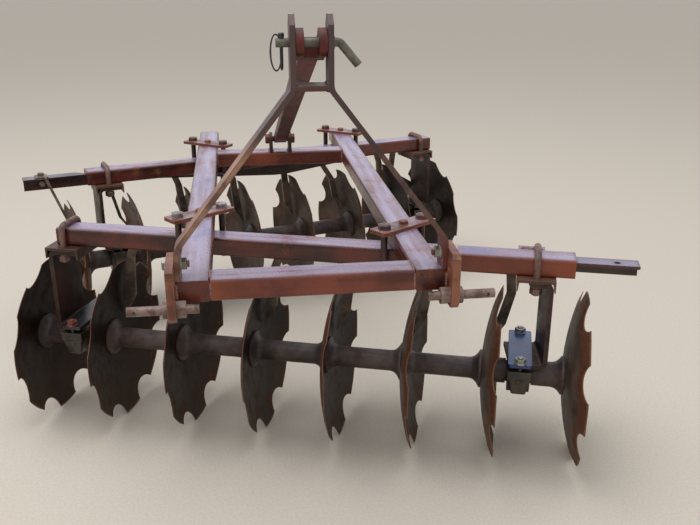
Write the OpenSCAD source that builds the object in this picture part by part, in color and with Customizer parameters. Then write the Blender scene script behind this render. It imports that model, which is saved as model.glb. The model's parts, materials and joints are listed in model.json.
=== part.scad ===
// Mounted offset disc harrow: two gangs of notched discs under a welded frame,
// with a three-point hitch. All sizes in millimetres.
// +X right and +Y rearwards, seen from the hitch end. Z is up from the floor.

/* [Frame] */
// Outer width over the two fore-aft rails
rail_outer_width = 622; // [580:1:680]
// Length of the rails
rail_length = 1750; // [1600:10:1900]
// Width of every frame tube, laid flat
tube_width = 76; // [70:1:84]
// Height of every frame tube
tube_height = 52; // [46:1:58]
// Outside corner radius of the tubes
tube_corner = 8; // [5:1:10]
// Distance from the front cross tube's face to the rear cross tube's face
rear_cross_y = 1315; // [1200:5:1400]
// Length of each gang beam
beam_length = 1463; // [1400:1:1500]

/* [Gangs] */
// Angle of the front gang across the frame, degrees
front_angle = 18.9; // [15:0.1:21]
// Angle of the rear gang across the frame, degrees
rear_angle = 17.75; // [15:0.1:21]
// Front beam's centre behind the front cross tube's face
front_gang_y = 420; // [400:1:460]
// Rear beam's centre ahead of the rails' rear ends
rear_gang_inset = 182; // [150:1:220]
// Spacing of the discs along the axle
disc_pitch = 225; // [218:1:232]
// Radius over the tips of the worn discs
disc_radius = 245; // [236:1:250]
// Depth of the dish
dish_depth = 46; // [42:1:56]
// Thickness of a disc
disc_thickness = 5; // [4:0.5:7]
// Notches in a disc
notch_count = 8; // [6:2:10]
// Radius of a notch
notch_radius = 54; // [44:1:58]
// Depth of a notch
notch_depth = 36; // [26:1:42]
// Radius of the spool's flared ends
spool_flange_radius = 54; // [48:1:56]
// Radius of the spool's neck
spool_neck_radius = 30; // [26:1:34]
// Radius of the through axle
axle_radius = 16; // [13:1:18]
// Radius of the journal that runs in a bearing
journal_radius = 30; // [26:1:34]
// Radial clearance of the journal in its bearing
journal_clearance = 0.05; // [0.02:0.01:0.1]

/* [Hangers] */
// Width of the hanger's flat bar
hanger_width = 146; // [140:1:147]
// Thickness of the hanger's flat bar
hanger_thickness = 12; // [10:1:14]
// Length of the hanger's upper flange
hanger_flange = 84; // [80:1:88]
// Thickness of the saddle plate under a beam
saddle_thickness = 8; // [6:1:10]
// Radius of the rod of a U-bolt
ubolt_rod_radius = 9; // [7:0.5:10]
// Length of a bearing along the axle
bearing_length = 62; // [56:1:64]

/* [Hitch] */
// Thickness of the hitch plates
hitch_plate_thickness = 18; // [16:1:22]
// Radius of the lower hitch pins
lower_pin_radius = 11; // [11:0.5:14]
// Free length of a lower hitch pin beyond its collar
lower_pin_length = 78; // [60:1:90]
// Drop of the lower hitch pins below the rails' tops
lower_pin_drop = 56; // [44:1:66]
// Rise of the top link pin above the rails' tops
top_pin_rise = 512; // [450:1:540]
// Radius of the top link pin
top_pin_radius = 9.5; // [9:0.5:12.5]
// Thickness of the mast straps
strap_thickness = 12; // [9:1:14]
// Fore-aft width of the mast straps
strap_width = 58; // [50:1:64]
// Distance between the centres of the mast straps at the top
strap_spacing = 80; // [76:1:90]
// How far the mast stands right of the middle
mast_shift = 3; // [0:1:12]

/* [Output] */
// The sub-part to draw, or all of them

/* [Hidden] */
$fn = 48;

// heights: the lowest lobe of each disc stands on the floor
axle_z = disc_radius;
cap_gap = 54;
hanger_height = 246;
beam_bottom = axle_z + cap_gap + hanger_height + saddle_thickness;
beam_top = beam_bottom + tube_height;
rail_top = beam_top + tube_height;
lower_pin_z = rail_top - lower_pin_drop;
top_pin_z = rail_top + top_pin_rise;
rail_x = rail_outer_width / 2 - tube_width / 2;
plate_x = rail_outer_width / 2;
rear_gang_y = rail_length - rear_gang_inset;
function notch_centre() = disc_radius - notch_depth + notch_radius;
// radius of the sphere of which a disc is part
ball_radius = (pow(disc_radius, 2) + pow(dish_depth, 2)) / (2 * dish_depth);
function dish(r) = sqrt(pow(ball_radius, 2) - pow(r, 2)) - (ball_radius - dish_depth);

// rim planes along each axle, from the beam's middle on the frame's centre line
front_gang_offset = 3.5;
rear_gang_offset = -44;
front_rims = [for (i = [0:7]) front_gang_offset + (i - 3.5) * disc_pitch];
rear_rims = [for (i = [0:7]) rear_gang_offset + (i - 3.5) * disc_pitch];

// the hangers' webs, the U-bolts through their flanges and the bearings under them
// the front right hanger is set closer in, and stands turned on its U-bolt
front_web_s = [front_rims[0] + 48, front_rims[7] - 106];
rear_web_s = [rear_rims[0] + 104, rear_rims[7] - 51];
right_leg_in = 38;
right_turn = 7;
right_flange = 61;
front_ubolt_s = [front_web_s[0] + hanger_flange / 2, front_web_s[1] - right_leg_in];
rear_ubolt_s = [rear_web_s[0] + hanger_flange / 2, rear_web_s[1] - hanger_flange / 2];
hanger_foot = 100;
hanger_bend = 20;
cap_width = 64;
cap_length = 225;
cap_thickness = 10;
cap_bolt_n = 100;
bearing_in = hanger_bend + cap_width / 2 + 6;
front_bearing_s = [front_web_s[0] + bearing_in, front_web_s[1] - bearing_in - 6];
rear_bearing_s = [rear_web_s[0] + bearing_in, rear_web_s[1] - bearing_in];

// both axles, and the hangers less so, lie behind their beams
axle_back = 20;
hanger_back = 10;

// the beams sit a little off the frame's centre line
front_shift = 13;
rear_shift = -27;
front_beam_end = front_shift + beam_length / 2;
rear_beam_end = rear_shift - beam_length / 2;

// the scraper bars run from a beam's end to just past the outermost disc
bar_width = 50;
front_bar_end = front_rims[7] + 113.5;
rear_bar_end = rear_rims[0] - 147;
x_high = front_bar_end * cos(front_angle) + bar_width / 2 * sin(front_angle);
x_low = rear_bar_end * cos(rear_angle) - bar_width / 2 * sin(rear_angle);
pin_y = -26;
y_low = min(2 * pin_y, front_gang_y - front_rims[7] * sin(front_angle)
    + (axle_back - disc_radius) * cos(front_angle));
y_high = rear_gang_y + rear_rims[7] * sin(rear_angle)
    + (axle_back + disc_radius) * cos(rear_angle);
centre_x = (x_high + x_low) / 2;
centre_y = (y_high + y_low) / 2;

module frame_place() {
    translate([-centre_x, -centre_y, 0]) children();
}
module front_gang_place() {
    translate([-centre_x, front_gang_y - centre_y, 0]) rotate([0, 0, -front_angle]) children();
}
module rear_gang_place() {
    translate([-centre_x, rear_gang_y - centre_y, 0]) rotate([0, 0, rear_angle]) children();
}
module front_axle_place() {
    front_gang_place() translate([0, axle_back, 0]) children();
}
module rear_axle_place() {
    rear_gang_place() translate([0, axle_back, 0]) children();
}

module rounded_section(w, h, r) {
    translate([-w / 2 + r, -h / 2]) square([w - 2 * r, h]);
    translate([-w / 2, -h / 2 + r]) square([w, h - 2 * r]);
    for (x = [-1, 1], y = [-1, 1]) translate([x * (w / 2 - r), y * (h / 2 - r)]) circle(r);
}
// a tube along X, its top face at z = 0
module tube_x(length) {
    translate([0, 0, -tube_height / 2]) rotate([90, 0, 90])
        linear_extrude(length) rounded_section(tube_width, tube_height, tube_corner);
}
module tube_y(length) {
    translate([0, 0, -tube_height / 2]) rotate([90, 0, 180])
        linear_extrude(length) rounded_section(tube_width, tube_height, tube_corner);
}
module hex(across, height) {
    cylinder(r = across / 2 / cos(30), h = height, $fn = 6);
}

module left_rail() {
    color([0.30, 0.14, 0.13]) frame_place() translate([-rail_x, 0, rail_top]) tube_y(rail_length);
}
module right_rail() {
    color([0.30, 0.14, 0.13]) frame_place() translate([rail_x, 0, rail_top]) tube_y(rail_length);
}
module cross_tube(y) {
    inner = rail_outer_width / 2 - tube_width;
    translate([-inner, y + tube_width / 2, rail_top]) tube_x(2 * inner);
}
module front_cross_tube() {
    color([0.30, 0.14, 0.13]) frame_place() cross_tube(0);
}
module rear_cross_tube() {
    color([0.30, 0.14, 0.13]) frame_place() cross_tube(rear_cross_y);
}

// outline of a hitch plate in Y and Z, measured from the pin
module hitch_plate_outline() {
    polygon([[-26, -14], [-14, -26], [20, -26], [76, 8], [76, 104], [68, 112], [-16, 106], [-26, 96]]);
}
module hitch_plate(side) {
    t = hitch_plate_thickness;
    difference() {
        translate([side > 0 ? plate_x : -plate_x - t, pin_y, lower_pin_z])
            rotate([90, 0, 90]) linear_extrude(t) hitch_plate_outline();
        translate([side * (plate_x - 1), pin_y, lower_pin_z]) rotate([0, side * 90, 0])
            cylinder(r = lower_pin_radius + 0.3, h = t + 2);
        translate([side * (plate_x - 1), pin_y + 8, lower_pin_z + 66]) rotate([0, side * 90, 0])
            cylinder(r = 11, h = t + 2);
        translate([side * (plate_x - 1), mast_y, foot_bolt_z]) rotate([0, side * 90, 0])
            cylinder(r = 8.3, h = t + 2);
    }
}
module left_hitch_plate() {
    color([0.36, 0.19, 0.14]) frame_place() hitch_plate(-1);
}
module right_hitch_plate() {
    color([0.36, 0.19, 0.14]) frame_place() hitch_plate(1);
}

// a stepped pin through the plate, with its collar outside and its nut inside;
// a fine groove divides its free length from the collar
pin_collar = 12;
pin_inner_length = 50;
module hitch_pin(side) {
    r = lower_pin_radius;
    shoulder = hitch_plate_thickness + pin_collar;
    translate([side * plate_x, pin_y, lower_pin_z]) rotate([0, side * 90, 0]) difference() {
        union() {
            translate([0, 0, -pin_inner_length])
                cylinder(r = r, h = pin_inner_length + shoulder + lower_pin_length);
            translate([0, 0, hitch_plate_thickness]) cylinder(r = 20, h = pin_collar);
            translate([0, 0, -22]) hex(36, 22);
        }
        translate([0, 0, shoulder]) difference() {
            cylinder(r = r + 1, h = 1);
            cylinder(r = r - 0.5, h = 1);
        }
        translate([0, 0, shoulder + lower_pin_length - 18]) rotate([90, 0, 0])
            cylinder(r = 5, h = 60, center = true);
    }
}
module left_hitch_pin() {
    color([0.52, 0.42, 0.36]) frame_place() hitch_pin(-1);
}
module right_hitch_pin() {
    color([0.52, 0.42, 0.36]) frame_place() hitch_pin(1);
}

mast_y = 25;
foot_bolt_z = rail_top + 34;
mast_top_z = top_pin_z + 58;
knee_z = top_pin_z - 96;
foot_z = rail_top + 72;
strap_bend = 32;
bend_steps = 5;
function arc(x, z, r, from, to) =
    [for (i = [0:bend_steps]) let (a = from + (to - from) * i / bend_steps) [x + r * cos(a), z + r * sin(a)]];
// one strap seen from the front: straight foot, slanted part and straight head,
// with round bends; x is measured outwards from the middle of the machine
module strap_outline(side) {
    h = strap_thickness / 2;
    xt = side * mast_shift + strap_spacing / 2;
    xb = plate_x - h;
    lean = atan((xb - xt) / (knee_z - foot_z));
    set = strap_bend * tan(lean / 2);
    polygon([for (p = concat(
        [[xb + h, rail_top + 1]],
        arc(xb - strap_bend, foot_z - set, strap_bend + h, 0, lean),
        arc(xt + strap_bend, knee_z + set, strap_bend - h, 180 + lean, 180),
        [[xt + h, mast_top_z], [xt - h, mast_top_z]],
        arc(xt + strap_bend, knee_z + set, strap_bend + h, 180, 180 + lean),
        arc(xb - strap_bend, foot_z - set, strap_bend - h, lean, 0),
        [[xb - h, rail_top + 1]])) [side * p[0], p[1]]]);
}
module strap(side) {
    t = strap_thickness;
    xt = mast_shift + side * strap_spacing / 2;
    difference() {
        translate([0, mast_y + strap_width / 2, 0]) rotate([90, 0, 0])
            linear_extrude(strap_width) strap_outline(side);
        // the head is cut to a blunt point
        for (e = [-1, 1]) translate([xt, mast_y + e * strap_width / 2, mast_top_z]) rotate([45, 0, 0])
            cube([60, 30, 30], center = true);
        translate([xt, mast_y, top_pin_z]) rotate([0, 90, 0])
            cylinder(r = top_pin_radius + 0.5, h = 60, center = true);
    }
    // bolt that holds the foot to the hitch plate
    translate([side * (plate_x + hitch_plate_thickness), mast_y, foot_bolt_z]) rotate([0, side * 90, 0]) {
        hex(24, 10);
        translate([0, 0, -hitch_plate_thickness - t - 20]) cylinder(r = 8, h = hitch_plate_thickness + t + 20);
        translate([0, 0, -hitch_plate_thickness - t - 14]) hex(24, 14);
    }
}
module left_mast_strap() {
    color([0.62, 0.42, 0.38]) frame_place() strap(-1);
}
module right_mast_strap() {
    color([0.62, 0.42, 0.38]) frame_place() strap(1);
}
module mast_spacer() {
    w = strap_spacing - strap_thickness;
    color([0.50, 0.33, 0.30]) frame_place()
        translate([mast_shift - w / 2, mast_y - strap_width / 2, knee_z - 2]) cube([w, strap_width, 12]);
}
// straight through both straps, with its handle bent down on the right;
// the bend starts inside the straight bar and the handle inside the bend, each a little thinner
handle_bend = 50;
handle_length = 56;
handle_step = 0.15;
module top_link_pin() {
    r = top_pin_radius;
    bend = r + 6;
    head_x = strap_spacing / 2 + strap_thickness / 2;
    color([0.40, 0.44, 0.38]) frame_place() translate([mast_shift, mast_y, top_pin_z]) {
        difference() {
            union() {
                translate([-74, 0, 0]) rotate([0, 90, 0]) cylinder(r = r, h = 74 + head_x + 8);
                translate([head_x, 0, 0]) rotate([0, 90, 0]) cylinder(r = r + 4, h = 4);
            }
            translate([-62, 0, 0]) cylinder(r = 4, h = 40, center = true);
        }
        translate([head_x + 8, 0, -bend]) rotate([90, 0, 0]) rotate([0, 0, 90 - handle_bend])
            rotate_extrude(angle = handle_bend + 4) translate([bend, 0]) circle(r - handle_step);
        translate([head_x + 8 + bend * sin(handle_bend), 0, bend * (cos(handle_bend) - 1)])
            rotate([0, 90 + handle_bend, 0]) translate([0, 0, -1.5])
                cylinder(r = r - 2 * handle_step, h = handle_length);
    }
}
// the linchpin's shank stands in the pin's cross hole and its ring lies against the pin's end
module linchpin_ring() {
    color([0.05, 0.05, 0.05]) frame_place() translate([mast_shift - 62, mast_y, top_pin_z]) {
        translate([0, 0, -26]) cylinder(r = 4, h = 46);
        translate([0, 0, top_pin_radius + 0.5]) cylinder(r = 6.5, h = 11);
        translate([0, 0, -12]) rotate([0, 90, 0]) rotate_extrude() translate([24, 0]) circle(2);
    }
}

// the brace forks into two cheeks on the top link pin and ends in the clevis on the rear cross tube
brace_width = 44;
brace_depth = 30;
brace_fork = 66;
cheek_thickness = 17;
brace_end_x = 2;
brace_y1 = rear_cross_y + 22;
brace_z1 = rail_top + 46;
brace_run = sqrt(pow(brace_y1 - mast_y, 2) + pow(top_pin_z - brace_z1, 2));
brace_slope = atan((top_pin_z - brace_z1) / (brace_y1 - mast_y));
module rear_brace() {
    cheek_x = strap_spacing / 2 - strap_thickness / 2 - 1 - cheek_thickness;
    color([0.27, 0.11, 0.11]) frame_place() difference() {
        translate([mast_shift, mast_y, top_pin_z])
            rotate([0, 0, atan((mast_shift - brace_end_x) / (brace_y1 - mast_y))]) rotate([-brace_slope, 0, 0]) {
            for (e = [0, 1]) mirror([e, 0, 0]) translate([cheek_x, 0, 0]) {
                rotate([0, 90, 0]) cylinder(r = 30, h = cheek_thickness);
                translate([0, 0, -22]) cube([cheek_thickness, brace_fork, 44]);
            }
            translate([-cheek_x - 1, brace_fork - 26, -22]) cube([2 * cheek_x + 2, 26, 44]);
            translate([-brace_width / 2, brace_fork - 10, -brace_depth / 2])
                cube([brace_width, brace_run - brace_fork + 10, brace_depth]);
            translate([0, brace_run, 0]) rotate([0, 90, 0])
                cylinder(r = brace_depth / 2, h = brace_width, center = true);
        }
        translate([mast_shift, mast_y, top_pin_z]) rotate([0, 90, 0])
            cylinder(r = top_pin_radius, h = 90, center = true);
        translate([brace_end_x, brace_y1, brace_z1]) rotate([0, 90, 0]) cylinder(r = 10, h = 90, center = true);
    }
}
module brace_clevis() {
    color([0.28, 0.12, 0.11]) frame_place() translate([brace_end_x, brace_y1, 0]) {
        for (e = [-1, 1]) difference() {
            translate([e * 35, 0, 0]) union() {
                translate([0, 0, rail_top + 23]) cube([12, 50, 46], center = true);
                translate([0, 0, brace_z1]) rotate([0, 90, 0]) cylinder(r = 25, h = 12, center = true);
            }
            translate([e * 35, 0, brace_z1]) rotate([0, 90, 0]) cylinder(r = 9, h = 30, center = true);
        }
        translate([0, 0, brace_z1]) rotate([0, 90, 0]) {
            cylinder(r = 10, h = 82, center = true);
            translate([0, 0, 41]) hex(30, 13);
            translate([0, 0, -55]) hex(30, 14);
        }
    }
}

module gang_beam(shift) {
    translate([shift - beam_length / 2, 0, beam_top]) tube_x(beam_length);
}
// slotted plate on the back of the front beam, over a U-bolt's rear leg
module slot_lug(s, slot_s) {
    translate([0, 0, beam_top - 9]) difference() {
        translate([min(s, slot_s) - 20, tube_width / 2 - 8, 0]) cube([abs(s - slot_s) + 40, 34, 8]);
        translate([s, leg_n, -1]) cylinder(r = ubolt_rod_radius + 2.6, h = 10);
        translate([slot_s - 10, leg_n - 1, -1]) cube([20, 6, 10]);
    }
}
module front_gang_beam() {
    color([0.30, 0.13, 0.12]) front_gang_place() {
        gang_beam(front_shift);
        slot_lug(front_ubolt_s[1], front_ubolt_s[1] - 30);
    }
}
module rear_gang_beam() {
    color([0.30, 0.13, 0.12]) rear_gang_place() gang_beam(rear_shift);
}
// deep in the middle, running out to nothing near each end, and notched for the clamp plates
module rear_beam_stiffener() {
    notch = 156;
    color([0.12, 0.08, 0.08]) rear_gang_place() translate([0, 16, beam_bottom]) rotate([90, 0, 0])
        linear_extrude(10) difference() {
            polygon([[rear_beam_end + 158.5, 0], [rear_beam_end + 1278.5, 0], [40, -48], [-10, -48]]);
            for (e = [-1, 1]) translate([e * rail_x / cos(rear_angle) - notch / 2, -10.5]) square([notch, 20]);
        }
}
// an angle bar along the axle from s0 to s1, its upright leg at n0
bar_thickness = 8;
bar_drop = 10;
module angle_bar(s0, s1, n0) {
    translate([s0, 0, beam_top - bar_drop - bar_thickness]) {
        translate([0, -bar_width / 2, 0]) cube([s1 - s0, bar_width, bar_thickness]);
        translate([0, n0, -32]) cube([s1 - s0, bar_thickness, 36]);
    }
}
module front_scraper_bar() {
    color([0.33, 0.16, 0.16]) front_gang_place() difference() {
        angle_bar(front_beam_end, front_bar_end, bar_width / 2 - bar_thickness);
        translate([front_bar_end - 55, -4, beam_top - 30]) cylinder(r = 8, h = 40);
    }
}
module rear_scraper_bar() {
    color([0.25, 0.12, 0.12]) rear_gang_place() difference() {
        angle_bar(rear_bar_end, rear_beam_end, -bar_width / 2);
        translate([rear_beam_end, bar_width / 2, beam_top - 30]) rotate([0, 0, 45])
            cube([50, 50, 60], center = true);
    }
}

// a plate over the rail and one under the beam, drawn together by two long bolts;
// the bolts stand outside the rail and outside the beam
clamp_thickness = 10;
clamp_corner = 6;
clamp_bolt_radius = 9;
clamp_s = tube_width / 2 + 5;
clamp_n = tube_width / 2 + 20;
module beam_clamp(slant) {
    reach = sqrt(pow(clamp_s, 2) + pow(clamp_n, 2));
    r = clamp_bolt_radius;
    foot = beam_bottom - clamp_thickness - 16;
    rotate([0, 0, slant * atan(clamp_n / clamp_s)]) {
        translate([0, 0, rail_top]) linear_extrude(clamp_thickness) rounded_section(200, 58, clamp_corner);
        translate([0, 0, beam_bottom - clamp_thickness]) linear_extrude(clamp_thickness)
            rounded_section(184, 54, clamp_corner);
        for (e = [-1, 1]) translate([e * reach, 0, 0]) {
            translate([0, 0, foot]) cylinder(r = r, h = rail_top - foot);
            translate([0, 0, rail_top + clamp_thickness]) hex(30, 13);
            translate([0, 0, foot]) hex(30, 16);
        }
        translate([0, 0, rail_top + clamp_thickness]) hex(22, 9);
    }
}
module front_beam_clamps() {
    color([0.55, 0.29, 0.16]) front_gang_place() for (e = [-1, 1])
        translate([e * rail_x / cos(front_angle), 0, 0]) beam_clamp(1);
}
module rear_beam_clamps() {
    color([0.55, 0.29, 0.16]) rear_gang_place() for (e = [-1, 1])
        translate([e * rail_x / cos(rear_angle), 0, 0]) beam_clamp(-1);
}

// a U-bolt over the beam with its legs through saddle and hanger
leg_n = tube_width / 2 + ubolt_rod_radius + 1;
module ubolt() {
    r = ubolt_rod_radius;
    bend = tube_corner + r + 1;
    top = beam_top + r + 1;
    foot = beam_bottom - saddle_thickness - hanger_thickness - 24;
    for (e = [-1, 1]) {
        translate([0, e * leg_n, foot]) cylinder(r = r, h = top - bend - foot);
        translate([0, e * leg_n, foot + 2]) hex(28, 16);
        translate([0, e * leg_n, foot + 18]) cylinder(r = 12, h = 6);
        translate([0, e * (leg_n - bend), top - bend]) rotate([90, 0, e * 90])
            rotate_extrude(angle = 90) translate([bend, 0]) circle(r);
    }
    translate([0, 0, top]) rotate([90, 0, 0]) cylinder(r = r, h = 2 * (leg_n - bend), center = true);
}
module front_ubolts() {
    color([0.45, 0.34, 0.29]) front_gang_place() for (s = front_ubolt_s) translate([s, 0, 0]) ubolt();
}
module rear_ubolts() {
    color([0.45, 0.34, 0.29]) rear_gang_place() for (s = rear_ubolt_s) translate([s, 0, 0]) ubolt();
}

// plate under the beam with a tapered lip down each side
saddle_depth = 132;
saddle_lip = 32;
module saddle() {
    t = saddle_thickness;
    a = hanger_flange / 2 + 8;
    difference() {
        translate([0, saddle_depth / 2, beam_bottom]) rotate([90, 0, 0]) linear_extrude(saddle_depth)
            polygon([[-a, 0], [a, 0], [a, -saddle_lip], [a - 3, -saddle_lip], [a - 6, -t],
                [6 - a, -t], [3 - a, -saddle_lip], [-a, -saddle_lip]]);
        for (e = [-1, 1]) translate([0, e * leg_n, beam_bottom - 20])
            cylinder(r = ubolt_rod_radius + 0.5, h = 40);
    }
}
module front_saddles() {
    color([0.33, 0.20, 0.17]) front_gang_place() for (s = front_ubolt_s) translate([s, 0, 0]) saddle();
}
module rear_saddles() {
    color([0.33, 0.20, 0.17]) rear_gang_place() for (s = rear_ubolt_s) translate([s, 0, 0]) saddle();
}

// flat bar bent to a C, its web outside and open towards dir, with its foot longer than its top
module hanger_outline(top) {
    r = hanger_bend;
    t = hanger_thickness;
    h = hanger_height;
    difference() {
        union() {
            translate([r, 0]) square([hanger_foot - r, h / 2]);
            translate([r, h / 2]) square([top - r, h / 2]);
            translate([0, r]) square([2 * r, h - 2 * r]);
            for (z = [r, h - r]) translate([r, z]) circle(r);
        }
        translate([r, t]) square([hanger_foot, h - 2 * t]);
        translate([t, r]) square([2 * r, h - 2 * r]);
        for (z = [r, h - r]) translate([r, z]) circle(r - t);
    }
}
module hanger(web_s, dir, leg_s, top, turn) {
    z0 = axle_z + cap_gap;
    difference() {
        translate([web_s, 0, z0]) rotate([0, 0, turn])
            translate([0, hanger_width / 2 + hanger_back, 0]) rotate([90, 0, 0]) linear_extrude(hanger_width)
            scale([dir, 1]) hanger_outline(top);
        for (e = [-1, 1]) translate([leg_s, e * leg_n, z0 + hanger_height - 20])
            cylinder(r = ubolt_rod_radius + 0.5, h = 40);
    }
}
module front_hangers() {
    color([0.28, 0.17, 0.14]) front_gang_place() {
        hanger(front_web_s[0], 1, front_ubolt_s[0], hanger_flange, 0);
        hanger(front_web_s[1], -1, front_ubolt_s[1], right_flange, right_turn);
    }
}
module rear_hangers() {
    color([0.28, 0.17, 0.14]) rear_gang_place() {
        hanger(rear_web_s[0], 1, rear_ubolt_s[0], hanger_flange, 0);
        hanger(rear_web_s[1], -1, rear_ubolt_s[1], hanger_flange, 0);
    }
}

// split block under the hanger's foot, with a wing at each end for its bolts
bearing_wing = 24;
module bearing() {
    l = bearing_length;
    top = axle_z + cap_gap;
    difference() {
        union() {
            translate([-l / 2, -cap_length / 2, top - bearing_wing]) cube([l, cap_length, bearing_wing]);
            rotate([90, 0, 90]) translate([0, 0, -l / 2]) linear_extrude(l)
                polygon([[-62, top - 20], [-56, axle_z - 8], [-34, axle_z - 44],
                    [34, axle_z - 44], [56, axle_z - 8], [62, top - 20]]);
        }
        translate([0, 0, axle_z]) rotate([0, 90, 0])
            cylinder(r = journal_radius + journal_clearance, h = l + 2, center = true);
        for (e = [-1, 1]) translate([0, e * cap_bolt_n, axle_z]) cylinder(r = 8.5, h = 90);
    }
}
module front_bearings() {
    color([0.22, 0.16, 0.12]) front_axle_place() for (s = front_bearing_s) translate([s, 0, 0]) bearing();
}
module rear_bearings() {
    color([0.18, 0.14, 0.12]) rear_axle_place() for (s = rear_bearing_s) translate([s, 0, 0]) bearing();
}
// plate over the hanger's foot, with the two bolts that hold the bearing
module bearing_cap() {
    z = axle_z + cap_gap + hanger_thickness;
    under = z - hanger_thickness - bearing_wing;
    translate([0, 0, z]) linear_extrude(cap_thickness) rounded_section(cap_width, cap_length, 6);
    for (e = [-1, 1]) translate([0, e * cap_bolt_n, 0]) {
        translate([0, 0, under - 24]) cylinder(r = 8, h = z - under + 50);
        translate([0, 0, z + cap_thickness]) hex(26, 14);
        translate([0, 0, under - 14]) hex(26, 14);
    }
}
module bearing_caps() {
    color([0.08, 0.08, 0.09]) {
        front_axle_place() translate([front_bearing_s[0], 0, 0]) bearing_cap();
        rear_axle_place() for (s = rear_bearing_s) translate([s, 0, 0]) bearing_cap();
    }
}
module blue_bearing_cap() {
    color([0.13, 0.28, 0.62]) front_axle_place() translate([front_bearing_s[1], 0, 0]) bearing_cap();
}

// Scrapers: flat arms from the beam's rear face down to a point inside each disc's hollow.
// An arm's outline is given as [distance from the rim plane on the hollow side,
// distance down the arm from the beam's bottom].
scraper_thickness = 8;
scraper_lean = 12;
scraper_half = 13;
scraper_reach = 266;
scraper_in = 32;
function straight_arm(foot, knee) = [[foot - scraper_half, 0], [foot + scraper_half, 0],
    [8 + 2 * scraper_half, knee], [12, 196], [2 - scraper_in, scraper_reach],
    [-scraper_in, scraper_reach - 4], [8, knee]];
// passes behind a hanger that stands in the way
cranked_foot = 170;
cranked_off = 18;
cranked_in = 28;
cranked_arm = [[cranked_foot - scraper_half, 0], [cranked_foot - scraper_half, 118], [10, 205],
    [-cranked_in, scraper_reach - 4], [2 - cranked_in, scraper_reach], [50, 225],
    [cranked_foot + scraper_half, 128], [cranked_foot + scraper_half, 0]];
module arm_plate(dir, outline, lean) {
    t = scraper_thickness;
    rotate([lean, 0, 0]) translate([0, t, 0]) rotate([90, 0, 0])
        linear_extrude(t) polygon([for (p = outline) [dir * p[0], -p[1]]]);
}
// the foot lies flat on the beam's rear face, clear of the beam's round corner,
// or on a block that stands off it
module scraper(dir, foot, off, outline) {
    translate([0, tube_width / 2, beam_bottom]) {
        translate([dir * foot - scraper_half, 0, -8]) cube([2 * scraper_half, off + scraper_thickness, 46]);
        translate([0, off, 0]) arm_plate(dir, outline, scraper_lean);
    }
}
// stands upright on a long block, to pass behind a hanger and its U-bolt
stand_off = 50;
module stand_off_scraper() {
    translate([0, tube_width / 2, beam_bottom]) {
        translate([-62, 0, 9]) cube([28, stand_off + 1, 28]);
        translate([0, stand_off, 0])
            arm_plate(-1, [[34, -38], [62, -38], [62, 0], [57, 70], [33, 170], [-24, 252], [-27, 250],
                [21, 170], [45, 70], [42, 0]], 0);
    }
}
module front_scrapers() {
    feet = [44, 44, 22, 44, 44, 44, 15];
    color([0.20, 0.14, 0.12]) front_gang_place() for (i = [1:6])
        translate([front_rims[i], 0, 0]) scraper(1, feet[i], 0, straight_arm(feet[i], i == 6 ? 90 : 56));
}
module rear_scrapers() {
    color([0.20, 0.14, 0.12]) rear_gang_place() {
        translate([rear_rims[0], 0, 0]) end_scraper();
        translate([rear_rims[1], 0, 0]) stand_off_scraper();
        for (i = [2, 3, 4, 6]) translate([rear_rims[i], 0, 0]) scraper(-1, 44, 0, straight_arm(44, 56));
        translate([rear_rims[5], 0, 0]) scraper(-1, 98, 0, straight_arm(98, 112));
        translate([rear_rims[7], 0, 0]) scraper(-1, cranked_foot, cranked_off, cranked_arm);
    }
}
// hooks over the end bar's front edge and runs down into the outermost disc
module end_scraper() {
    top = beam_top - bar_drop;
    translate([-105, -bar_width / 2 - 15, top]) cube([44, bar_width, 8]);
    hull() {
        translate([-76, -58, top]) cube([8, 30, 8]);
        translate([-14, -60, axle_z + 175]) cube([8, 30, 4]);
    }
    hull() {
        translate([-14, -60, axle_z + 175]) cube([8, 30, 4]);
        translate([20, -75, axle_z + 45]) cube([6, 30, 4]);
    }
}

// disc in its own frame: rim plane at x = 0, hollow face towards +X
disc_flat = 64;
module disc() {
    flat = disc_flat;
    steps = 7;
    rs = [for (i = [0:steps]) flat + (disc_radius - flat) * i / steps];
    difference() {
        rotate([0, 90, 0]) rotate_extrude($fn = 96)
            polygon(concat(
                [[axle_radius + 0.1, -dish(flat)]],
                [for (r = rs) [r, -dish(r)]],
                [for (i = [steps:-1:0]) [rs[i], -dish(rs[i]) - disc_thickness]],
                [[axle_radius + 0.1, -dish(flat) - disc_thickness]]));
        for (i = [0:notch_count - 1]) rotate([180 * (2 * i + 1) / notch_count, 0, 0])
            translate([-dish_depth - 20, 0, notch_centre()]) rotate([0, 90, 0])
                cylinder(r = notch_radius, h = dish_depth + 40);
    }
}
hub_in = dish(disc_flat);
hub_out = hub_in + disc_thickness;
module front_discs() {
    color([0.22, 0.19, 0.18]) front_axle_place() for (s = front_rims)
        translate([s, 0, axle_z]) disc();
}
module rear_discs() {
    color([0.22, 0.19, 0.18]) rear_axle_place() for (s = rear_rims)
        translate([s, 0, axle_z]) rotate([0, 0, 180]) disc();
}

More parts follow.
